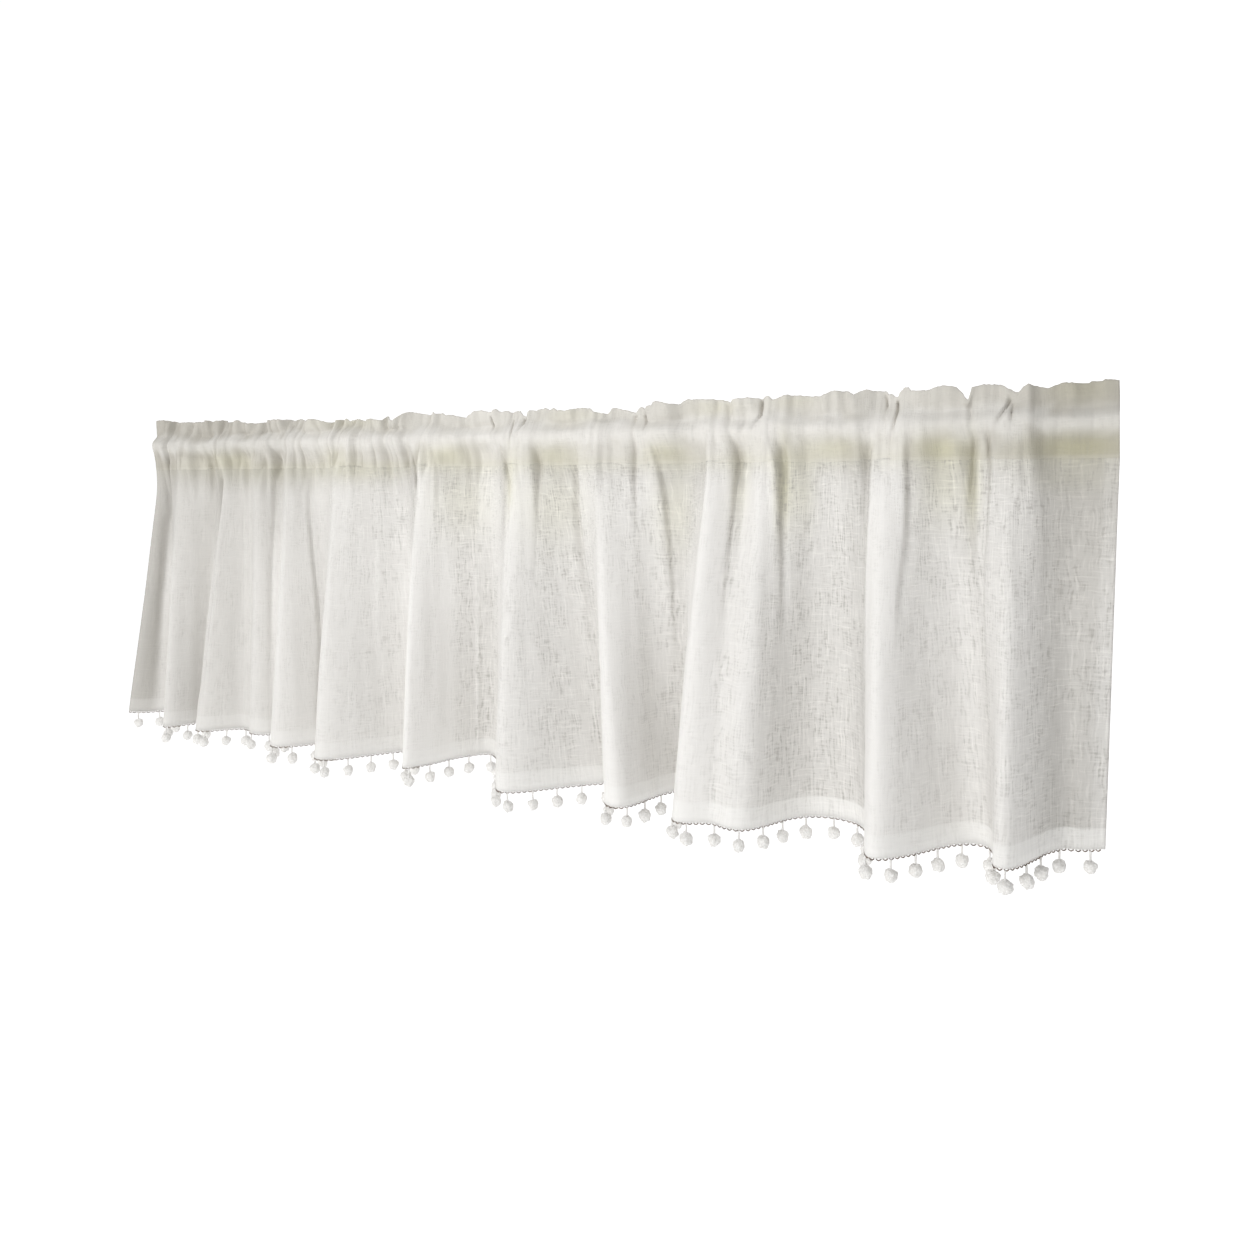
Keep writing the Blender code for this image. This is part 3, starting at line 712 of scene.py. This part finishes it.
def ivory_and_shade_shares(grid):
    """How strong the warm cast and its painted olive shade are at each point."""
    total = np.zeros(grid.shape[:2])
    for patch in PATCHES:
        sideways = (grid[..., 0] / MM - patch.x) / patch.wide
        upright = (grid[..., 2] / MM - patch.z) / patch.high
        total += patch.strength * np.exp(-(sideways**2) - upright**2)
    return np.clip(total, 0, 1)


def at_level(down):
    """The heading's section at a depth in millimetres, between the rows of its table."""
    for upper, lower in zip(HEADING_LEVELS, HEADING_LEVELS[1:]):
        if down <= lower.down:
            break
    share = (down - upper.down) / (lower.down - upper.down)
    return Level(*(mix(a, b, share) for a, b in zip(upper, lower)))


def heading_column(x, line, creases):
    """The cloth's path at one place on the rod: up the front, over the frill's edge and down the back.

    creases are the heights of the creases there at each of the section's depths.
    """
    body, pleats, pinch = rod_line(x, line), pleat_depth(x), pinch_depth(x)
    dip, wave, wander = frill_dip(x) / MM, frill_wave(x), seam_wander(x)
    front, back = [], []
    for down, crease in zip(SECTION_DOWNS, creases):
        level = at_level(down)
        half = level.half * MM - (SEWN - LAYERS_APART) / 2
        half -= SEAM_SINKS * smooth((down - SEAM_DOWN + 7) / 7)
        lean = wave * max(0, 1 - down / (FRILL_DOWN - 1)) ** 1.2
        height = -down * MM if down > FRILL_DOWN else -mix(dip, FRILL_DOWN, down / FRILL_DOWN) * MM
        height += wander * MM * smooth(down / FRILL_DOWN) * smooth((SEAM_DOWN - down) / 12)
        gather = small_gathers(x, down * MM)
        half *= 1 + 0.12 * noise_at(x * 14, down * 0.03, 6.2) * smooth((down - FRILL_DOWN - 1) / 6)
        middle = body * level.folds + lean - gather * level.back_pinch
        forward = half + pleats * level.front_pleats + gather * (level.front_pinch - level.back_pinch)
        front.append((x, middle - forward + pinch * level.front_pinch - crease, height))
        behind = pinch * level.back_pinch - pleats * level.back_pleats - crease * level.back_pinch
        puckers = back_puckers(x, down * MM) * smooth(down / 20) * smooth((SEAM_DOWN - down) / 10)
        back.append((x, middle + half + behind + puckers, height))
    centre = (Vector(front[0]) + Vector(back[0])) / 2
    turn = []
    for angle in np.radians((45, 90, 135)):
        offset = Vector((0, -math.cos(angle), math.sin(angle))) * LAYERS_APART / 2
        turn.append(tuple(centre + offset))
    return front[::-1] + turn + back


def make_heading(line, finish):
    """The doubled heading: one sheet folded over at the frill's edge, open at both ends of the pocket."""
    places, lengths = columns(line, HEADING_COLUMNS)
    creases = np.array([crease_row(down, places, places) for down in SECTION_DOWNS])
    columns_made = [heading_column(x, line, creases[:, index]) for index, x in enumerate(places)]
    grid = np.array(columns_made).transpose(1, 0, 2)
    rows = len(grid)
    front = len(SECTION_DOWNS)
    downs = SECTION_DOWNS[::-1] + [0, 0, 0] + SECTION_DOWNS
    downs_grid = np.repeat(np.array(downs)[:, None] * MM, len(places), axis=1)
    uv = np.stack((np.repeat(lengths[None, :], rows, axis=0), DROP - downs_grid), axis=-1)
    swell = np.array([
        [noise_at(x * 60, down * 0.06, 7.7 if row < front else 3.3) for x in places]
        for row, down in enumerate(downs)
    ])
    in_pocket = [smooth((down - FRILL_DOWN) / 8) * smooth((SEAM_DOWN - down) / 8) for down in downs]
    sides = np.where(np.arange(rows) < front, 1, -1)
    grid[..., 1] += POCKET_SWELL * swell * (np.array(in_pocket) * sides)[:, None]
    ivory_and_shade = ivory_and_shade_shares(grid)
    steps = np.linspace(-TONES_SPREAD, TONES_SPREAD, 9)
    above = np.mean([tone_row(0, places + away) for away in steps], axis=0)
    above += read_table(UPPER_TONES, places / MM)
    in_band = tone_row(0, places) + read_table(BAND_TONES, places / MM)
    share = np.array([smooth((down - 45) / 20) for down in downs])[:, None]
    slits = np.array([
        [tight_share(x) * smooth(1 - tight_pucker(x, down * MM) / SLIT_WIDTH) for x in places]
        for down in downs
    ])
    # Painted shade: the tones, darker towards both ends and in the slits between the puckers
    tones = mix(above, in_band, share) + SLIT_TONE * slits
    marks = {"Ivory and shade": ivory_and_shade[::-1], "Down": downs_grid[::-1], "Tone": tones}
    heading = add_sheet("gathered_heading", grid[::-1], uv[::-1], marks, finish)
    thicken(heading, LAYER)
    return heading


def walk(points, lengths):
    """Points of a polyline at the given lengths along it."""
    steps = np.linalg.norm(np.diff(points, axis=0), axis=1)
    total = np.concatenate(([0], np.cumsum(steps)))
    return np.stack([np.interp(lengths, total, points[:, axis]) for axis in range(3)], axis=-1)


def yarn(name, runs, radius, finish):
    """Lengths of yarn along lists of points, as one mesh."""
    curve = bpy.data.curves.new(name, "CURVE")
    curve.dimensions = "3D"
    curve.bevel_depth = radius
    curve.bevel_resolution = 1
    curve.use_fill_caps = True
    for run in runs:
        spline = curve.splines.new("POLY")
        spline.points.add(len(run) - 1)
        for point, place in zip(spline.points, run):
            point.co = (*place, 1)
    select_only(add_object(name, curve))
    bpy.ops.object.convert(target="MESH")
    made = bpy.context.object
    made.name = name
    made.data.materials.clear()
    made.data.materials.append(finish)
    made.data.shade_smooth()
    return made


def pompom_places(hem):
    """The pompoms' roots along the hem and their middles, pushed apart where folds bring them together."""
    length = np.linalg.norm(np.diff(hem, axis=0), axis=1).sum()
    count = round(length / POMPOM_PITCH)
    pitch = length / count
    roots = [Vector(root) for root in walk(hem, [pitch * (index + 0.5) for index in range(count)])]
    middles = [root - Vector((0, 0, POMPOM_DROP)) for root in roots]
    room = POMPOM + POMPOM_GAP
    for _ in range(PUSHES):
        for index, middle in enumerate(middles):
            for other in middles[index + 1:]:
                apart = other - middle
                if apart.length < room:
                    push = apart.normalized() * ((room - apart.length) / 2)
                    other += push
                    middle -= push
    return roots, middles


def model_pompom(kind, finish):
    """One ball of cut cotton yarn, a little longer than wide and drawn in under its thread."""
    place = Vector((3 + 7 * kind, 1, 2))
    bpy.ops.object.select_all(action="DESELECT")
    bpy.ops.mesh.primitive_ico_sphere_add(subdivisions=4, radius=POMPOM / 2, location=(0, 0, 0))
    pompom = bpy.context.object
    pompom.name = "pompom"
    for vertex in pompom.data.vertices:
        outward = vertex.co.normalized()
        lumps = 0.2 * noise.noise(outward * 1.6 + place) + 0.12 * noise.noise(outward * 4 - place)
        tufts = 0.09 * abs(noise.noise(outward * 10 + place))
        drawn_in = 0.2 * smooth((outward.z - 0.3) / 0.7)
        vertex.co = vertex.co * (0.94 + lumps + tufts - drawn_in)
        vertex.co.z *= POMPOM_LENGTH
    pompom.data.materials.append(finish)
    pompom.data.shade_smooth()
    return pompom


def join_copies(name, models, places, finish):
    """One mesh of many copies, from a model's index and a matrix for each. It removes the models."""
    points, faces, reached = [], [], 0
    shapes = []
    for model in models:
        corners = np.array([vertex.co for vertex in model.data.vertices])
        shapes.append((corners, np.array([face.vertices[:] for face in model.data.polygons])))
    for index, matrix in places:
        corners, triangles = shapes[index]
        turned = corners @ np.array(matrix.to_3x3()).T + np.array(matrix.translation)
        points.append(turned)
        faces.append(triangles + reached)
        reached += len(corners)
    mesh = bpy.data.meshes.new(name)
    mesh.from_pydata(np.concatenate(points).tolist(), [], np.concatenate(faces).tolist())
    mesh.materials.append(finish)
    mesh.shade_smooth()
    for model in models:
        bpy.data.objects.remove(model)
    return add_object(name, mesh)


def make_edging(hem, cotton, brown):
    """The braid along the hem: a white cord with a row of small loops under it, whose dark brown is painted
    shade under the braid.
    """
    length = np.linalg.norm(np.diff(hem, axis=0), axis=1).sum()
    cord = walk(hem, np.arange(0, length, EDGING_STEP)) - np.array((0, 0, CORD_RADIUS))
    shares = np.linspace(0, 1, 7)
    loops = []
    for start in np.arange(0, length - LOOP_PITCH, LOOP_PITCH):
        loop = walk(hem, start + shares * LOOP_PITCH * LOOP_SHARE)
        loop[:, 2] -= LOOP_START + LOOP_DROP * np.sin(math.pi * shares)
        loops.append(loop.tolist())
    head = yarn("edging_cord", [cord.tolist()], CORD_RADIUS, cotton)
    return head, yarn("edging_loops", loops, LOOP_RADIUS, brown)


def make_pompoms(hem, cotton):
    """The pompoms, each on a short thread from the edging, as one mesh of threads and one of balls."""
    roots, middles = pompom_places(hem)
    runs = []
    for index, (root, middle) in enumerate(zip(roots, middles)):
        start = root - Vector((0, 0, THREAD_TOP))
        end = middle + Vector((0, 0, THREAD_IN))
        bow = THREAD_BOW * Vector((noise_at(index * 0.7, 0.5, 0), noise_at(index * 0.7, 8.5, 0), 0))
        runs.append([start.lerp(end, share) + bow * (share * (1 - share)) for share in THREAD_SHARES])
    threads = yarn("pompom_threads", runs, THREAD / 2, cotton)
    models = [model_pompom(kind, cotton) for kind in range(POMPOM_KINDS)]
    places = []
    for index, middle in enumerate(middles):
        size = 1 + 0.12 * noise_at(index * 0.9, 3.5, 0)
        tilt = Matrix.Rotation(0.9 * noise_at(index * 1.3, 6.5, 0), 4, "Y")
        turn = Matrix.Rotation(index * 2.4, 4, "Z")
        placed = Matrix.Translation(middle) @ tilt @ turn @ Matrix.Scale(size, 4)
        places.append((index % POMPOM_KINDS, placed))
    return threads, join_copies("pompoms", models, places, cotton)


def add_node(tree, kind, inputs, **settings):
    """A shader node with its settings, and its inputs set to a value or linked from an output."""
    node = tree.nodes.new(kind)
    for name, value in settings.items():
        setattr(node, name, value)
    for name, value in inputs.items():
        if isinstance(value, bpy.types.NodeSocket):
            tree.links.new(value, node.inputs[name])
        else:
            node.inputs[name].default_value = value
    return node


def calculate(tree, operation, first, second=0.0):
    """The result of a maths node."""
    return add_node(tree, "ShaderNodeMath", {0: first, 1: second}, operation=operation).outputs[0]


def calculate_vector(tree, operation, inputs):
    """The result of a vector maths node."""
    return add_node(tree, "ShaderNodeVectorMath", inputs, operation=operation).outputs[0]


def read_mark(tree, name):
    """One of the sheet's attributes."""
    return add_node(tree, "ShaderNodeAttribute", {}, attribute_name=name).outputs["Fac"]


def fade(tree, value, start, end, low=0.0, high=1.0):
    """A value turned into a soft mask: low at start, high at end."""
    inputs = {"Value": value, "From Min": start, "From Max": end, "To Min": low, "To Max": high}
    return add_node(tree, "ShaderNodeMapRange", inputs, interpolation_type="SMOOTHSTEP").outputs[0]


def blend_colours(tree, share, first, second):
    """The first colour, with a share of the second in its place."""
    return add_node(tree, "ShaderNodeMix", {0: share, 6: first, 7: second}, data_type="RGBA").outputs[2]


def tinted(tree, share, colour, tint):
    """The colour multiplied by a tint, by a share of it."""
    inputs = {0: share, 6: colour, 7: (*tint, 1)}
    return add_node(tree, "ShaderNodeMix", inputs, data_type="RGBA", blend_type="MULTIPLY").outputs[2]


def new_group(name, inputs, outputs):
    """An empty node group with named inputs and outputs, and the nodes for its two ends."""
    group = bpy.data.node_groups.new(name, "ShaderNodeTree")
    for label, kind in inputs:
        group.interface.new_socket(label, in_out="INPUT", socket_type=kind)
    for label, kind in outputs:
        group.interface.new_socket(label, in_out="OUTPUT", socket_type=kind)
    return group, group.nodes.new("NodeGroupInput").outputs, group.nodes.new("NodeGroupOutput").inputs


def stretched_noise(tree, place, across, up, detail):
    """Noise drawn out along one direction of the cloth. across and up are its steps in each millimetre."""
    moved = add_node(tree, "ShaderNodeMapping", {"Vector": place, "Scale": (across, up, 1)}).outputs[0]
    inputs = {"Vector": moved, "Scale": 1.0, "Detail": detail, "Roughness": 0.55}
    return add_node(tree, "ShaderNodeTexNoise", inputs, noise_dimensions="2D").outputs["Fac"]


def slub_weave():
    """Plain weave of uneven yarn, thick and thin both ways, with pinholes of painted shade where thin
    stretches cross.
    """
    group, given, result = new_group(
        "Slub weave",
        [
            ("Place", "NodeSocketVector"),
            ("Openness", "NodeSocketFloat"),
            ("Yarn colour", "NodeSocketColor"),
            ("Pinhole shade colour", "NodeSocketColor"),
        ],
        [("Colour", "NodeSocketColor"), ("Height", "NodeSocketFloat")],
    )
    place = calculate_vector(group, "SCALE", {0: given["Place"], "Scale": 1 / MM})
    inputs = {"Vector": place, "Scale": 0.05, "Detail": 1.0}
    drift = add_node(group, "ShaderNodeTexNoise", inputs).outputs["Color"]
    drift = calculate_vector(group, "SUBTRACT", {0: drift, 1: (0.5, 0.5, 0.5)})
    drift = calculate_vector(group, "SCALE", {0: drift, "Scale": 5.0})
    place = calculate_vector(group, "ADD", {0: place, 1: drift})
    upright = stretched_noise(group, place, 0.42, 0.03, 3.0)
    level = stretched_noise(group, place, 0.03, 0.5, 3.0)
    short_upright = stretched_noise(group, place, 0.42, 0.05, 2.0)
    short_level = stretched_noise(group, place, 0.075, 0.46, 2.0)
    patches = stretched_noise(group, place, 0.035, 0.022, 2.0)
    slubs = calculate(group, "ADD", fade(group, upright, 0.5, 0.72), fade(group, level, 0.52, 0.74))
    level_dashes = fade(group, short_level, 0.43, 0.3, 0, 0.55)
    dashes = calculate(group, "ADD", fade(group, short_upright, 0.45, 0.3), level_dashes)
    level_gaps = fade(group, short_level, 0.6, 0.4)
    crossed = calculate(group, "MULTIPLY", fade(group, short_upright, 0.6, 0.4), level_gaps)
    thin = calculate(group, "MULTIPLY", calculate(group, "ADD", dashes, crossed), 0.5)
    thin = calculate(group, "MULTIPLY", thin, fade(group, patches, 0.34, 0.6, 0.3, 1))
    pinholes = calculate(group, "MULTIPLY", thin, given["Openness"])
    colour = blend_colours(group, pinholes, given["Yarn colour"], given["Pinhole shade colour"])
    streaks = calculate(group, "MULTIPLY", slubs, calculate(group, "MULTIPLY", given["Openness"], 0.2))
    tone = calculate(group, "ADD", streaks, 0.98)
    colour = calculate_vector(group, "SCALE", {0: colour, "Scale": tone})
    height = calculate(group, "SUBTRACT", calculate(group, "MULTIPLY", slubs, 0.3), thin)
    group.links.new(colour, result["Colour"])
    group.links.new(height, result["Height"])
    return group


def stitch_line():
    """A row of machine stitches along a line of the cloth."""
    group, given, result = new_group(
        "Stitch line",
        [("Place", "NodeSocketVector"), ("Line height", "NodeSocketFloat")],
        [("Stitch", "NodeSocketFloat"), ("Furrow", "NodeSocketFloat")],
    )
    parts = add_node(group, "ShaderNodeSeparateXYZ", {"Vector": given["Place"]}).outputs
    away = calculate(group, "ABSOLUTE", calculate(group, "SUBTRACT", parts["Y"], given["Line height"]))
    along = calculate(group, "PINGPONG", parts["X"], 1.4 * MM)
    within = fade(group, away, 0.55 * MM, 0.3 * MM)
    stitch = calculate(group, "MULTIPLY", fade(group, along, 0.35 * MM, 0.6 * MM), within)
    group.links.new(stitch, result["Stitch"])
    group.links.new(fade(group, away, 1.8 * MM, 0.3 * MM), result["Furrow"])
    return group


def cloth_material(name, colour, roughness):
    """A matt cloth material with nothing linked yet, and its shader."""
    made = bpy.data.materials.new(name)
    made.use_nodes = True
    shader = made.node_tree.nodes["Principled BSDF"]
    shader.inputs["Base Color"].default_value = (*colour, 1)
    shader.inputs["Roughness"].default_value = roughness
    shader.inputs["Specular IOR Level"].default_value = 0.15
    shader.inputs["Sheen Weight"].default_value = 0.08
    shader.inputs["Sheen Roughness"].default_value = 0.6
    return made, shader


def use_group(tree, group, inputs):
    """The outputs of a node group that is used in a material."""
    return add_node(tree, "ShaderNodeGroup", inputs, node_tree=group).outputs


def add_bump(tree, shader, height, strength):
    """Relief from a height in millimetres."""
    inputs = {"Height": height, "Strength": strength, "Distance": MM}
    bump = add_node(tree, "ShaderNodeBump", inputs)
    tree.links.new(bump.outputs["Normal"], shader.inputs["Normal"])


def add_seam(tree, height, sewn, furrow, stitch):
    """A height with a seam's furrow pressed in and its stitches raised."""
    height = calculate(tree, "SUBTRACT", height, calculate(tree, "MULTIPLY", sewn["Furrow"], furrow))
    return calculate(tree, "ADD", height, calculate(tree, "MULTIPLY", sewn["Stitch"], stitch))


def single_cloth(weave, stitches, hem_length):
    """One layer of slubby semi-sheer cloth, whiter where it is turned over at the hem and the sides."""
    made, shader = cloth_material("Slub cloth", SINGLE_CLOTH, 0.9)
    tree = made.node_tree
    place = add_node(tree, "ShaderNodeUVMap", {}, uv_map="Cloth").outputs[0]
    parts = add_node(tree, "ShaderNodeSeparateXYZ", {"Vector": place}).outputs
    tone = read_mark(tree, "Tone")
    ivory_and_shade = read_mark(tree, "Ivory and shade")
    hem = fade(tree, parts["Y"], HEM + 1.5 * MM, HEM - 1.5 * MM)
    left = fade(tree, parts["X"], SIDE_HEM + 3 * MM, SIDE_HEM - 3 * MM, 0, 0.2)
    inside = hem_length - SIDE_HEM
    right = fade(tree, parts["X"], inside - 3 * MM, inside + 3 * MM, 0, 0.2)
    turned = calculate(tree, "MAXIMUM", hem, calculate(tree, "MAXIMUM", left, right))
    closed = fade(tree, turned, 0, 1, 1, 0.4)
    openness = calculate(tree, "MULTIPLY", fade(tree, tone, 0, 0.8, 0.1, 0.58), closed)
    openness = calculate(tree, "MULTIPLY", openness, fade(tree, parts["X"], 0.5, 0.95, 0.35, 1))
    # Painted shade: the cloth darkens towards the shaded sheer colour with its tone
    depth = calculate(tree, "MULTIPLY", tone, 1 / DEEPEST_TONE)
    colour = blend_colours(tree, depth, (*SINGLE_CLOTH, 1), (*SHADED_SHEER_CLOTH, 1))
    # A warm cast, partly painted olive shade in the valleys under the heading
    colour = tinted(tree, ivory_and_shade, colour, IVORY_CAST_AND_SHADE)
    whiteness = calculate(tree, "MULTIPLY", turned, fade(tree, parts["X"], 0.4, 1.6, 0.2, 0.7))
    colour = blend_colours(tree, whiteness, colour, (*TURNED_CLOTH, 1))
    inputs = {"Place": place, "Openness": openness, "Yarn colour": colour, "Pinhole shade colour": (*PINHOLE_SHADE, 1)}
    woven = use_group(tree, weave, inputs)
    sewn = use_group(tree, stitches, {"Place": place, "Line height": HEM - 1.5 * MM})
    tree.links.new(woven["Colour"], shader.inputs["Base Color"])
    height = calculate(tree, "MULTIPLY", woven["Height"], 0.2)
    height = calculate(tree, "ADD", height, calculate(tree, "MULTIPLY", hem, 0.3))
    add_bump(tree, shader, add_seam(tree, height, sewn, 0.12, 0.12), 0.8)
    return made


def doubled_cloth(weave, stitches):
    """The heading's two layers: warmer with painted olive shade in the band, painted shade by tone, a
    painted highlight on the pocket.
    """
    made, shader = cloth_material("Doubled slub cloth", DOUBLED_CLOTH, 0.9)
    tree = made.node_tree
    place = add_node(tree, "ShaderNodeUVMap", {}, uv_map="Cloth").outputs[0]
    ivory_and_shade = read_mark(tree, "Ivory and shade")
    down = read_mark(tree, "Down")
    tone = read_mark(tree, "Tone")
    inputs = {"Vector": place, "Scale": 20.0, "Detail": 2.0}
    cloudy = add_node(tree, "ShaderNodeTexNoise", inputs).outputs["Fac"]
    drift = calculate(tree, "ADD", down, fade(tree, cloudy, 0.3, 0.7, -7 * MM, 7 * MM))
    below = fade(tree, drift, 60 * MM, 42 * MM)
    pocket = calculate(tree, "MULTIPLY", fade(tree, drift, 18 * MM, 36 * MM), below)
    taken = fade(tree, down, 20 * MM, 52 * MM, 0.85, 1)
    # Painted shade: the band and the pocket darken with the tone
    depth = calculate(tree, "MULTIPLY", calculate(tree, "MULTIPLY", tone, 1 / DEEPEST_TONE), taken)
    band = blend_colours(tree, depth, (*DOUBLED_CLOTH, 1), (*DOUBLED_SHADE, 1))
    # Painted highlight on the pocket's bulge, darkened by painted shade with the tone
    bulge = blend_colours(tree, depth, (*POCKET_HIGHLIGHT, 1), (*POCKET_SHADE, 1))
    colour = blend_colours(tree, pocket, band, bulge)
    colour = tinted(tree, ivory_and_shade, colour, IVORY_CAST_AND_SHADE)
    edge = fade(tree, down, 70 * MM, 73 * MM, 0, 0.1)
    colour = blend_colours(tree, edge, colour, (*TURNED_CLOTH, 1))
    inputs = {"Place": place, "Openness": 0.15, "Yarn colour": colour, "Pinhole shade colour": (*PINHOLE_SHADE, 1)}
    woven = use_group(tree, weave, inputs)
    upper = use_group(tree, stitches, {"Place": place, "Line height": DROP - 28 * MM})
    lower = use_group(tree, stitches, {"Place": place, "Line height": DROP - 71.5 * MM})
    tree.links.new(woven["Colour"], shader.inputs["Base Color"])
    height = calculate(tree, "MULTIPLY", woven["Height"], 0.2)
    for sewn in (upper, lower):
        height = add_seam(tree, height, sewn, 0.05, 0.08)
    add_bump(tree, shader, height, 0.8)
    return made


def yarn_material(name, colour, dark, size, relief):
    """Fluffy or twisted yarn: fine tufts, with painted shade between them."""
    made, shader = cloth_material(name, colour, 0.95)
    tree = made.node_tree
    place = add_node(tree, "ShaderNodeTexCoord", {}).outputs["Object"]
    tufts = add_node(tree, "ShaderNodeTexVoronoi", {"Vector": place, "Scale": size}).outputs["Distance"]
    inputs = {"Vector": place, "Scale": size * 0.6, "Detail": 4.0}
    wisps = add_node(tree, "ShaderNodeTexNoise", inputs).outputs["Fac"]
    height = calculate(tree, "ADD", calculate(tree, "MULTIPLY", tufts, -1.0), wisps)
    # Painted shade in the hollows between the tufts
    shade = fade(tree, height, -0.15, 0.35)
    tree.links.new(blend_colours(tree, shade, (*dark, 1), (*colour, 1)), shader.inputs["Base Color"])
    add_bump(tree, shader, calculate(tree, "MULTIPLY", height, relief), 1.0)
    return made


def set_stage():
    """A pale floor that curves up behind the curtain, soft light and the camera."""
    bpy.ops.object.select_all(action="DESELECT")
    bpy.ops.mesh.primitive_plane_add(size=1, location=(0, -1, FLOOR))
    floor = bpy.context.object
    floor.name = "floor"
    floor.scale = (24, 14, 1)
    bpy.ops.object.transform_apply(location=True, rotation=True, scale=True)
    bpy.ops.object.mode_set(mode="EDIT")
    bpy.ops.mesh.select_mode(type="EDGE")
    bpy.ops.mesh.select_all(action="DESELECT")
    bpy.ops.object.mode_set(mode="OBJECT")
    for edge in floor.data.edges:
        edge.select = all(floor.data.vertices[end].co.y > 0 for end in edge.vertices)
    bpy.ops.object.mode_set(mode="EDIT")
    bpy.ops.mesh.extrude_region_move(TRANSFORM_OT_translate={"value": (0, 0, 9)})
    bpy.ops.object.mode_set(mode="OBJECT")
    for edge in floor.data.edges:
        ends = [floor.data.vertices[end].co for end in edge.vertices]
        edge.select = all(end.y > 0 and abs(end.z - FLOOR) < 0.01 for end in ends)
    bpy.ops.object.mode_set(mode="EDIT")
    bpy.ops.mesh.bevel(offset=3, segments=24)
    bpy.ops.object.mode_set(mode="OBJECT")
    floor.data.shade_smooth()
    pale, shader = cloth_material("Pale floor", (0.9, 0.9, 0.9), 0.9)
    shader.inputs["Sheen Weight"].default_value = 0
    shader.inputs["Emission Color"].default_value = (1, 1, 1, 1)
    shader.inputs["Emission Strength"].default_value = FLOOR_GLOW
    floor.data.materials.append(pale)

    world = bpy.data.worlds.new("Soft light")
    bpy.context.scene.world = world
    world.use_nodes = True
    background = world.node_tree.nodes["Background"]
    background.inputs["Color"].default_value = (1, 1, 1, 1)
    background.inputs["Strength"].default_value = AMBIENT
    for name, place, size, power in LAMPS:
        light = bpy.data.lights.new(name, "AREA")
        light.shape = "RECTANGLE"
        light.size, light.size_y = size
        light.energy = power
        lamp = add_object(name, light)
        lamp.location = place
        lamp.rotation_euler = (Vector(LAMPS_AIM) - Vector(place)).to_track_quat("-Z", "Y").to_euler()

    lens = bpy.data.cameras.new("camera")
    lens.lens = CAMERA_LENS
    lens.sensor_width = 36
    lens.shift_y = CAMERA_SHIFT
    camera = add_object("camera", lens)
    camera.location = CAMERA_PLACE
    camera.rotation_euler = [math.radians(turn) for turn in CAMERA_TURN]
    bpy.context.scene.camera = camera
    bpy.context.scene.view_settings.view_transform = "Standard"


def main():
    """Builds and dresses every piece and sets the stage."""
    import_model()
    line = crests()
    weave, stitches = slub_weave(), stitch_line()
    _, lengths = columns(line, PANEL_COLUMNS)
    doubled = doubled_cloth(weave, stitches)
    single = single_cloth(weave, stitches, lengths[-1])
    cotton = yarn_material("Cotton pompom yarn", COTTON, COTTON_SHADE, 700, 0.5)
    cord = yarn_material("Edging yarn", EDGING, EDGING_SHADE, 480, 0.3)
    heading = make_heading(line, doubled)
    panel, hem = make_panel(line, single)
    head, loops = make_edging(hem, cotton, cord)
    threads, pompoms = make_pompoms(hem, cotton)
    trim = (head, loops, threads, pompoms)
    for piece in (heading, panel, *trim):
        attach(piece, "root")
    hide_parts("heading")
    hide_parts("panel")
    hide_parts("pompom_trim")
    set_stage()


main()
